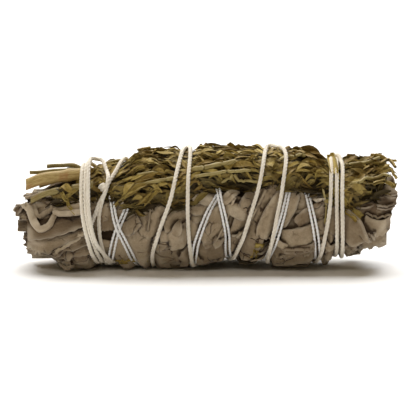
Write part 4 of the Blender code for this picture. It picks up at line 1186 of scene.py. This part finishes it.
def plied(line, cord):
    # the plies of a cord, twisted round its line
    far = lengthsAlong(line) / mm
    step = cord["twistLength"] / 9
    at = np.linspace(0, far[-1], round(far[-1] / step))
    fine = evened(np.stack([np.interp(at, far, line[:, c]) for c in range(3)], 1), 2)
    across, over = acrossLine(fine)
    away = (0.5 * cord["diameter"] - cord["plyRadius"]) * mm
    strands = []
    for k in range(cord["plies"]):
        turn = math.tau * (at / cord["twistLength"] + k / cord["plies"])
        turn = turn + 0.35 * np.sin(at / 11.0)
        strands.append(fine + away * (across * np.cos(turn)[:, None] + over * np.sin(turn)[:, None]))
    return strands


def cordPiece(name, lines, cord, sides, finish, node):
    # the piece of a cord, whose first line is its length
    strands = [strand for line in lines for strand in plied(line, cord)]
    piece = meshPiece(name, *sweep(strands, cord["plyRadius"] * mm, sides))
    finished(piece, finish, node, node)
    print(node, "length", round(lengthsAlong(lines[0])[-1] / mm))


def makeThread():
    path = routeOf(thread["route"], cordStep)
    heights = tautHeights(path, sagePile.widened().softened(1), thread)
    heights = overItself(path, heights, thread["crossing"])
    # where the herb lies over it, it is pressed into the sage
    over = path[:, 1] % 360
    heights = heights - thread["underHerb"] * np.clip((over - 30) / 6, 0, 1) * (over < 170)
    ahead = np.gradient(path, axis=0)
    run, turn = ahead[:, 0], np.radians(ahead[:, 1]) * cordRadius
    length = np.hypot(run, turn)
    lines = []
    for side in (-1, 1):
        sway = 1 + 0.35 * np.sin(0.11 * np.arange(len(path)) + side)
        off = side * thread["apart"] / 2 * sway
        x = path[:, 0] + off * turn / length
        angle = path[:, 1] - degreesOf(off * run / length, path[:, 0], path[:, 1])
        lines.append(place(x, angle, heights))
        sagePile.raiseTo(x, angle, heights + thread["diameter"] / 2)
    there, back = lines
    middle = (there[-1] + back[-1]) / 2
    out = there[-1] - middle
    forth = there[-1] - there[-2]
    forth = forth / np.linalg.norm(forth) * np.linalg.norm(out)
    bend = np.radians([[45], [90], [135]])
    bend = middle + out * np.cos(bend) + forth * np.sin(bend)
    line = np.concatenate([there, bend, back[::-1]])
    line[:, 2] = np.maximum(line[:, 2], thread["lowest"] * mm)
    cordPiece("whiteThread", [line], thread, 5, "whiteCotton", "white_thread")


makeThread()
nodeLeaf(*leafOverThread)


def deepened(pieces, pile):
    # how deep each corner lies below what is round it, for the painted shade in the gaps, and below 0 how
    # proud, for the painted highlight
    near, wide, far = pile.softened(2), pile.softened(9), pile.softened(24)
    for piece in pieces:
        x, angle, height = placeOf(pointsOf(piece))
        below, belowWide, belowFar = (level.read(x, angle) - height for level in (near, wide, far))
        deep = np.maximum(np.clip((below - 0.04) / 0.42, 0, 1), np.clip((belowWide - 0.15) / 0.8, 0, 1))
        deep = np.maximum(deep, np.clip((belowFar - 0.5) / 1.5, 0, 0.55))
        proud = np.clip((-belowWide - 0.15) / 0.9, 0, 1) * (below < 0.05)
        tinted(piece, deep - proud * (deep < 0.05), "deep")


sagePieces = [p for p in bpy.data.objects if p.name.startswith("sage") and "tint" in p.data.attributes]
deepened(sagePieces, sagePile)

# the rings of corners that the CAD stems have
stemRings = 6
# Bare stems at the left end: radius, where the knot is along it, its wander, how far
# its free end is raised, and the share of its last stretch that shows before the herb covers it
bareStems = {
    "woodyStem": (1.75, 0.72, 0.35, 2.6, 0.1),
    "thinStemLow": (0.9, 0.4, 0.25, 0.0, 0.2),
    "thinStemMiddle": (0.55, 0.6, 0.3, 4.2, 0.1),
    "thinStemHigh": (0.6, 0.5, 0.3, 1.8, 0.2),
    "thinStemBack": (0.8, 0.5, 0.3, 0.0, 0.2),
}


def middleOf(node, rings):
    # the middle line of a CAD stem: the mean of each ring of its corners
    points = pointsOf(frame["nodes"][node])
    low, high = points[:, 0].min(), points[:, 0].max()
    ring = np.round((points[:, 0] - low) / (high - low) * (rings - 1)).astype(int)
    return np.array([points[ring == k].mean(axis=0) for k in range(rings)])


def bareStem(name, radius, knotAt, wander, rise, cut):
    # a stem that lies bare along its CAD solid, with a thicker knot and a cut end
    middle = middleOf(nodeName(name), stemRings)
    middle[:, 2] += rise * mm * np.linspace(1, 0, stemRings)
    middle[-1] = middle[-2] + (middle[-1] - middle[-2]) * cut
    left, right = middle[0, 0] / mm, middle[-1, 0] / mm
    piece = barAlong(name, left, right, round((right - left) / 0.8), 16)
    flat = pointsOf(piece)
    x = flat[:, 0]
    turn = np.arctan2(flat[:, 2], flat[:, 1])
    lineY = curveThrough(middle[:, 0] / mm, middle[:, 1] / mm)
    lineZ = curveThrough(middle[:, 0] / mm, middle[:, 2] / mm)
    knot = 0.16 * np.exp(-((x - (left + knotAt * (right - left))) / 1.0) ** 2)
    size = radius * (1 + knot + 0.08 * wobble(x / 4, radius) + 0.06 * np.cos(3 * turn + 0.12 * x))
    y = lineY(x) + size * np.cos(turn) + wander * wobble(x / 7, radius * 3)
    z = lineZ(x) + size * np.sin(turn) + wander * wobble(x / 7, radius * 3 + 5)
    setPoints(piece, np.stack([x + 0.3 * wobble(turn * 1.3, radius), y, z], 1) * mm)
    wrapUv(piece, left * mm, lambda at: np.stack([lineY(at / mm), lineZ(at / mm)], 1) * mm)
    cutEnd(piece)
    sagePile.raiseTo(*placeOf(pointsOf(piece)))
    return piece


for name, spec in bareStems.items():
    look = "dryStem" if name == "woodyStem" else "oliveStem"
    finished(bareStem(name, *spec), look, "dry_stem", nodeName(name))
print("thread and stems laid")

# The green herb: its front edge as angles along X, and its sprigs side by side up to the back
herb = {
    "edge": ((-44, 28), (-32, 36), (-26, 30), (-20, 13), (-13.7, 22), (-7.7, 15), (-2, 25), (4.4, 33),
             (16, 36), (21, 39), (25, 33), (33, 33), (38, 22), (42, 13), (46, 18), (50, 25), (56, 33)),
    "back": 182.0,
    "sprigs": 8,
    "lefts": (-45.5, -37.0, -37.0, -41.0, -40.0, -44.5, -43.0, -40.0),
    "rights": (50.0, 50.0, 51.0, 49.5, 51.0, 50.0, 51.0, 48.0),
    "depth": 5.4,
    "share": ((-60, 0.25), (-46, 0.25), (-38, 0.35), (-32, 0.6), (-25, 0.66), (-20, 0.9), (-5, 1.0),
              (10, 1.0), (28, 1.0), (34, 0.78), (42, 0.66), (60, 0.7)),
    "pressed": 0.86,
    "core": 0.55,
    "coreSheet": 0.6,
    "coreHalfWidth": 3.6,
    "halfWidth": 3.9,
    "leaves": 760,
    "length": (2.6, 7.6),
    "width": (0.6, 1.35),
    "thickness": 0.22,
    # the mean and spread of how each small leaf bends
    "fold": (0.5, 0.8),
    "arch": (0.03, 0.2),
    "twist": (0.0, 1.5),
    "swing": (0.0, 0.5),
    # each sprig's four layers: share of its leaves, how high they lie, and their shape
    "layers": ((0.38, (0.42, 0.72), 0), (0.32, (0.6, 0.92), 1), (0.19, (0.8, 1.04), 0),
               (0.06, (0.85, 1.0), 2)),
    "broadShape": 2,
    "broader": 1.7,
}
herbEdge = curveThrough([p[0] for p in herb["edge"]], [p[1] for p in herb["edge"]])


def sprigCentre(k, x):
    # the angle of a sprig's middle line
    share = k / (herb["sprigs"] - 1)
    front = herbEdge(x) + 8.0
    back = herb["back"] + 4.0 * np.sin(0.07 * x)
    return front + (back - front) * share + 2.0 * np.sin(0.09 * x + k)


def smallLeaf(name, rows, columns, widths):
    # a flat small leaf, one long and one wide, whose width follows the given shares
    piece, _ = patch(name, rows, columns)
    applied(piece, "SOLIDIFY", thickness=herb["thickness"], offset=0.0)
    flat = pointsOf(piece)
    t = (flat[:, 0] + 1) / 2
    knots = np.linspace(0, 1, len(widths))
    thin = np.interp(t, (0, 0.15, 0.8, 1), (0.7, 1, 0.9, 0.4))
    model = np.stack([t, flat[:, 1] / 2 * np.interp(t, knots, widths), flat[:, 2] * thin], 1)
    faces = [list(f.vertices) for f in piece.data.polygons]
    uv = np.empty(len(piece.data.loops) * 2)
    piece.data.uv_layers.active.data.foreach_get("uv", uv)
    mesh = piece.data
    bpy.data.objects.remove(piece)
    bpy.data.meshes.remove(mesh)
    return model, faces, uv.reshape(-1, 2)


herbShapes = (
    smallLeaf("narrowLeaf", 6, 4, (0.25, 0.8, 1.0, 0.85, 0.5, 0.08)),
    smallLeaf("curledLeaf", 7, 3, (0.4, 0.7, 0.95, 1.0, 0.75, 0.4, 0.1)),
    smallLeaf("broadLeaf", 7, 4, (0.2, 0.75, 1.0, 0.95, 0.7, 0.2)),
)


def scattered(model, *measures):
    # copies of one small leaf laid over the pile, each with its own size, bend and turn
    x, angle, length, width, slant, tilt, lift, fold, arch, twist, swing = (m[:, None] for m in measures)
    t, b, c = model[None, :, 0], model[None, :, 1], model[None, :, 2]
    a = (t - 0.5) * length
    b = b * width
    rise = c + fold * np.abs(b) + arch * length * (0.25 - (t - 0.5) ** 2)
    turn = twist * (t - 0.5)
    b, rise = b * np.cos(turn) - rise * np.sin(turn), b * np.sin(turn) + rise * np.cos(turn)
    b = b + swing * length * ((t - 0.5) ** 2 - 0.08)
    rise = rise + a * tilt
    cos, sin = np.cos(slant), np.sin(slant)
    along = x + a * cos - b * sin
    around = angle + degreesOf(a * sin + b * cos, along, angle)
    loose = free(stringNear.read(along, around), 0.7, 3.4)
    height = herbGround.read(along, around) + herbDepth.read(along, around) * lift
    height = height + rise * (0.12 + 0.88 * loose) + 0.15 * loose
    return place(along, around, height)


def copiesMesh(name, batches):
    # one mesh out of the placed copies of several shapes
    points, faces, maps, tints, paintedlights = [], [], [], [], []
    base = 0
    for shape, placed, tint, deep in batches:
        count, size = placed.shape[:2]
        points.append(placed.reshape(-1, 3))
        for k in range(count):
            faces += [[base + k * size + v for v in f] for f in shape[1]]
        maps.append(np.tile(shape[2], (count, 1)))
        tints.append(np.repeat(tint, size))
        paintedlights.append(np.repeat(deep, size))
        base += count * size
    piece = meshPiece(name, np.concatenate(points), faces, np.concatenate(maps))
    tinted(piece, np.concatenate(tints))
    tinted(piece, np.concatenate(paintedlights), "deep")
    return piece


herbDepth = HeightMap(0)
ridges = 1 + 0.22 * wobble(gridX[::4] / 9, gridAngle[::4] / 9, 3.0).repeat(4, 0)[:len(gridX)]
pressed = herb["pressed"] + (1 - herb["pressed"]) * free(stringNear.high, 0.2, 2.6)
herbDepth.high = herb["depth"] * ridges * pressed
herbDepth.high *= curveThrough([p[0] for p in herb["share"]], [p[1] for p in herb["share"]])(gridX)
herbDepth.high *= np.clip((gridAngle - herbEdge(gridX) + 4) / 16, 0.25, 1)
herbDepth = herbDepth.softened(2)
herbGround = sagePile.softened(5)


def herbCore(k):
    # the imported stems and leaf stumps of a sprig, painted dark as the shade between its leaves
    left, right = herb["lefts"][k], herb["rights"][k]
    rows, columns = round((right - left) / 1.0), 12
    piece, order = patch(f"core{k}", rows, columns)
    x = left + (right - left) * np.linspace(0, 1, rows)[:, None] + np.zeros((1, columns))
    s = np.linspace(-1, 1, columns)[None, :]
    taper = np.clip(np.minimum(x - left, right - x) / 6, 0.35, 1)
    angle = sprigCentre(k, x) + degreesOf(s * herb["coreHalfWidth"] * taper, x, sprigCentre(k, x))
    full = herb["core"] * (1 - 0.45 * s ** 2)
    height = herbGround.read(x, angle) + herbDepth.read(x, angle) * full * taper
    height = height + 0.3 * wobble(x / 1.7, angle / 5, k)
    setGrid(piece, order, place(x, angle, height))
    applied(piece, "SOLIDIFY", thickness=herb["coreSheet"] * mm, offset=-1.0)
    tinted(piece, 1.0)
    # painted shade over the whole core
    tinted(piece, 0.9, "deep")
    return piece


def herbBatch(k, count, lifts, shape):
    left, right = herb["lefts"][k], herb["rights"][k]
    x = rng.uniform(left + 1.5, right + 2.5, count)
    off = rng.uniform(-herb["halfWidth"], herb["halfWidth"], count)
    angle = sprigCentre(k, x) + np.degrees(off / leafRadius)
    length = rng.uniform(*herb["length"], count)
    width = rng.uniform(*herb["width"], count) * (herb["broader"] if shape == herb["broadShape"] else 1.0)
    flow = 0.35 * np.array([noise.noise(Vector((u / 12, v / 25, 5.0))) for u, v in zip(x, angle)])
    slant = flow + rng.normal(0, 0.36, count) + np.where(rng.random(count) < 0.5, math.pi, 0)
    end = np.clip((x - 44) / 8, 0, 1)
    slant = slant + end * rng.normal(0, 0.5, count)
    tilt = rng.normal(0.0, 0.11, count) + end * rng.normal(0.1, 0.25, count)
    lift = rng.uniform(*lifts, count)
    fold, arch, twist, swing = (rng.normal(*herb[n], count) for n in ("fold", "arch", "twist", "swing"))
    placed = scattered(herbShapes[shape][0], x, angle, length, width, slant, tilt, lift, fold,
                       arch, twist, swing)
    # painted shade: darker for the small leaves that lie lower in the herb, and near its front edge
    deep = np.clip(1.0 - lift, 0, 1) * 3.4 + 0.4 * np.clip(1 - (angle - herbEdge(x)) / 16, 0, 1)
    return herbShapes[shape], placed, np.clip(rng.normal(0.5, 0.35, count), 0, 1), deep


def makeHerb():
    for k in range(herb["sprigs"]):
        batches = [herbBatch(k, round(herb["leaves"] * share), lifts, shape)
                   for share, lifts, shape in herb["layers"]]
        leaves = copiesMesh(f"sprig{k}", batches)
        sprig = joined(f"herbSprig{k + 1}", [leaves, herbCore(k)])
        finished(sprig, "greenHerb", "green_herb", f"herb_sprig_{k + 1}")
    print("herb laid")


makeHerb()

# Pale stems that lie over the herb, seen from the front: along X and up, radius, and the rise
herbStems = (
    (((-21.8, 23.4), (-15.0, 24.9), (-9.0, 26.0)), 0.62, 0.2),
    (((-20.3, 27.0), (-14.2, 27.8)), 0.45, 0.1),
    (((-3.9, 28.4), (2.0, 29.4), (9.0, 31.0)), 0.75, 0.3),
    (((-3.2, 26.4), (5.0, 27.6), (13.4, 28.2)), 0.5, 0.2),
    (((4.8, 24.7), (11.0, 25.3), (17.0, 24.9)), 0.45, 0.1),
    (((34.8, 22.6), (35.8, 17.0), (35.4, 12.4)), 0.32, 0.1),
    (((-30.4, 32.2), (-25.0, 33.2)), 0.5, 0.4),
    (((22.0, 31.5), (30.0, 33.0)), 0.5, 0.1),
    (((40.0, 29.5), (52.5, 31.0)), 0.5, 0.4),
    (((43.0, 24.0), (55.0, 26.5)), 0.45, 0.6),
)


def tubeOver(line, radius, rise, pile):
    # a stem's tube laid over the herb
    at, x, angle = seenLine(line, 0.6, 6, pile)
    height = pile.read(x, angle) + rise - 0.2 * radius
    for _ in range(12):
        height[1:-1] = np.maximum(height[1:-1], (height[:-2] + height[2:]) / 2)
    path = place(x, angle, height)
    path[:, 1] += 0.15 * mm * np.sin(at * 0.9 + radius * 9)
    points, faces, uv = sweep([path], radius * mm, 9)
    uv[:, 0] /= stemMap * mm
    return points, faces, uv, (x, angle, height + radius)


def makeHerbStems():
    pieces = []
    for k, (line, radius, rise) in enumerate(herbStems):
        points, faces, uv, spots = tubeOver(line, radius, rise, herbTop)
        piece = meshPiece(f"herbStem{k}", points, faces, uv)
        cutEnd(piece)
        pieces.append(piece)
        herbTop.raiseTo(*spots)
    finished(joined("herbStems", pieces), "paleStem", "dry_stem")


# Curled bits of herb seen from the front: the line along X and up, radius, start, sweep, rise, shade
herbCurls = (
    (((50.4, 33.4), (53.4, 33.9), (57.2, 32.0)), 0.6, 160, 200, 0.3, 0.2),
    (((49.6, 32.4), (51.4, 34.6), (54.0, 34.2)), 0.45, 100, 330, 0.4, 0.8),
    (((52.0, 29.6), (55.0, 30.6), (56.6, 28.6)), 0.5, 200, 300, 0.6, 0.9),
    (((51.6, 26.6), (55.4, 27.6), (56.8, 25.4)), 0.45, 90, 300, 0.7, 0.5),
    (((50.0, 24.0), (54.0, 24.6), (56.4, 22.8)), 0.5, 160, 280, 0.6, 0.3),
    (((42.4, 33.6), (43.6, 35.0), (45.0, 33.8)), 0.7, 180, 200, 0.2, 0.9),
    (((37.3, 33.4), (37.7, 30.6), (38.5, 26.8)), 1.35, 190, 200, 0.9, -0.1),
    (((40.8, 19.8), (43.0, 17.2), (46.6, 15.0)), 1.1, 170, 190, 0.3, 0.1),
    (((41.0, 16.4), (43.4, 15.0), (45.0, 13.4)), 0.8, 170, 200, 0.2, 0.3),
    (((-27.2, 17.6), (-24.0, 20.2), (-20.4, 24.0)), 0.6, 170, 220, 0.1, 0.5),
    (((-18.6, 18.4), (-16.4, 20.6), (-14.2, 22.6)), 1.0, 170, 200, 0.1, 0.3),
    (((14.8, 6.5), (17.2, 6.1)), 0.75, 170, 260, 0.4, -0.6),
    (((13.6, 1.6), (15.2, 4.6)), 0.8, 170, 220, 0.3, 0.4),
    (((-26.4, 1.4), (-21.0, 1.0), (-17.0, 1.2)), 0.8, 170, 220, 0.3, 0.4),
    (((-20.4, 35.0), (-18.4, 36.4), (-16.4, 36.2)), 0.4, 90, 300, 0.3, 0.9),
    (((-6.0, 35.0), (-4.6, 37.0)), 0.4, 170, 300, 0.2, 0.8),
    (((-42.6, 21.6), (-41.0, 18.4), (-38.6, 15.4)), 0.5, 170, 240, 0.3, -0.1),
    (((-41.0, 20.4), (-38.0, 22.4), (-35.4, 22.8)), 0.6, 170, 220, 0.2, 0.1),
)


def makeHerbCurls():
    pieces = []
    for k, (line, radius, start, sweepAngle, rise, shade) in enumerate(herbCurls):
        piece = rolledEdge(f"curl{k}", line, radius, start, sweepAngle, 0.25, rise - 0.4 * radius,
                           herbTop, 0.25)
        tinted(piece, shade)
        pieces.append(piece)
    finished(joined("herbCurls", pieces), "greenHerb", "green_herb")


herbTop = HeightMap(0)
covered = (gridAngle > herbEdge(gridX) - 2) & (gridAngle < herb["back"] + 8) & (gridX > -46)
herbTop.high = np.maximum(sagePile.high, herbGround.high + herbDepth.high + 0.3)
herbTop.high = np.where(covered, herbTop.high, sagePile.high)
makeHerbStems()
makeHerbCurls()


def knotLine(floor):
    # two small turns round the end of the loop
    x, up = string["knot"]
    angle = frontSpot(x, up, floor)
    middle = place(x, angle, floor.read(x, angle) + 1.0)
    turn = math.radians(angle)
    outward = np.array([0.0, -math.cos(turn), math.sin(turn)])
    along = np.array([0.75, 0.0, 0.0]) + 0.66 * np.array([0.0, math.sin(turn), math.cos(turn)])
    ahead = np.cross(outward, along)
    at = np.linspace(0, 1, 40)[:, None]
    spin = math.tau * string["knotTurns"] * at
    ring = string["knotRadius"] * (np.cos(spin) * along + np.sin(spin) * outward)
    return middle + (ring + ahead * (at - 0.5) * string["knotLength"]) * mm


def tailLine(floor):
    # the end of the string, from the knot down behind the tight turns
    steps, at = (0, 0.3, 0.7, 1), np.linspace(0, 1, 30)
    x = curveThrough(steps, (-30.4, -31.4, -32.6, -34.0))(at)
    angle = curveThrough(steps, (34, 26, 12, -2))(at)
    return place(x, angle, floor.read(x, angle) + 0.55)


def makeString():
    path = routeOf(string["route"], cordStep)
    floor = herbTop.widened().softened(2)
    heights = tautHeights(path, floor, string)
    heights = overItself(path, heights, string["diameter"] * 0.98)
    line = place(path[:, 0], path[:, 1], heights)
    line[:, 2] = np.maximum(line[:, 2], (string["diameter"] / 2 + string["clearOfFloor"]) * mm)
    lines = [line, knotLine(floor), tailLine(floor)]
    cordPiece("cottonString", lines, string, 6, "creamCotton", "cotton_string")


makeString()

# Floor, light and camera
stageSet = {"floorSize": 30.0, "floorShade": 0.92, "worldPower": 0.13, "worldColour": (1.0, 0.79, 0.47)}


def makeStage():
    bpy.ops.mesh.primitive_plane_add(size=stageSet["floorSize"], location=(0, 0, 0))
    floor = named("paleFloor")
    paint = bpy.data.materials.new("paleFloor")
    paint.use_nodes = True
    shader = paint.node_tree.nodes["Principled BSDF"]
    shade = stageSet["floorShade"]
    shader.inputs["Base Color"].default_value = (shade, shade, shade, 1.0)
    shader.inputs["Roughness"].default_value = 0.9
    shader.inputs["Specular IOR Level"].default_value = 0.1
    floor.data.materials.append(paint)
    world = bpy.data.worlds.new("studio")
    bpy.context.scene.world = world
    world.use_nodes = True
    sky = world.node_tree.nodes["Background"]
    sky.inputs["Color"].default_value = (*stageSet["worldColour"], 1.0)
    sky.inputs["Strength"].default_value = stageSet["worldPower"]


# the soft sun from above and behind, and the soft box at the front: direction, size and power
sun = {"from": (-0.02, 0.60, 1.0), "angle": 60.0, "power": 5.3}
lampColour = (1.0, 0.90, 0.76)
lamps = (("softBoxFront", (-0.30, -0.70, 0.70), (0.35, 0.30), 1.6),)


def aimed(thing, target):
    # turns a lamp or the camera towards a place
    direction = Vector(target) - thing.location
    thing.rotation_euler = direction.to_track_quat("-Z", "Y").to_euler()


def makeLight():
    key = bpy.data.lights.new("softSun", "SUN")
    key.angle = math.radians(sun["angle"])
    key.energy = sun["power"]
    high = linked("softSun", key)
    high.location = sun["from"]
    aimed(high, (0, 0, 0))
    for name, where, size, power in lamps:
        lamp = bpy.data.lights.new(name, "AREA")
        lamp.shape = "RECTANGLE"
        lamp.size, lamp.size_y = size
        lamp.energy = power
        lamp.color = lampColour
        made = linked(name, lamp)
        made.location = where
        aimed(made, (0, 0, 0.015))


def makeCamera():
    lens = bpy.data.cameras.new("frontCamera")
    lens.lens = camera["lens"]
    lens.sensor_width = camera["sensor"]
    lens.clip_start = 0.01
    made = linked("frontCamera", lens)
    distance = camera["frame"] * camera["lens"] / camera["sensor"]
    tip = math.radians(camera["elevation"])
    aim = Vector(camera["aim"]) * mm
    made.location = aim + Vector((0, -math.cos(tip), math.sin(tip))) * distance * mm
    aimed(made, aim)
    bpy.context.scene.camera = made


makeStage()
makeLight()
makeCamera()
bpy.context.scene.view_settings.view_transform = "Standard"
print("stage, light and camera set")
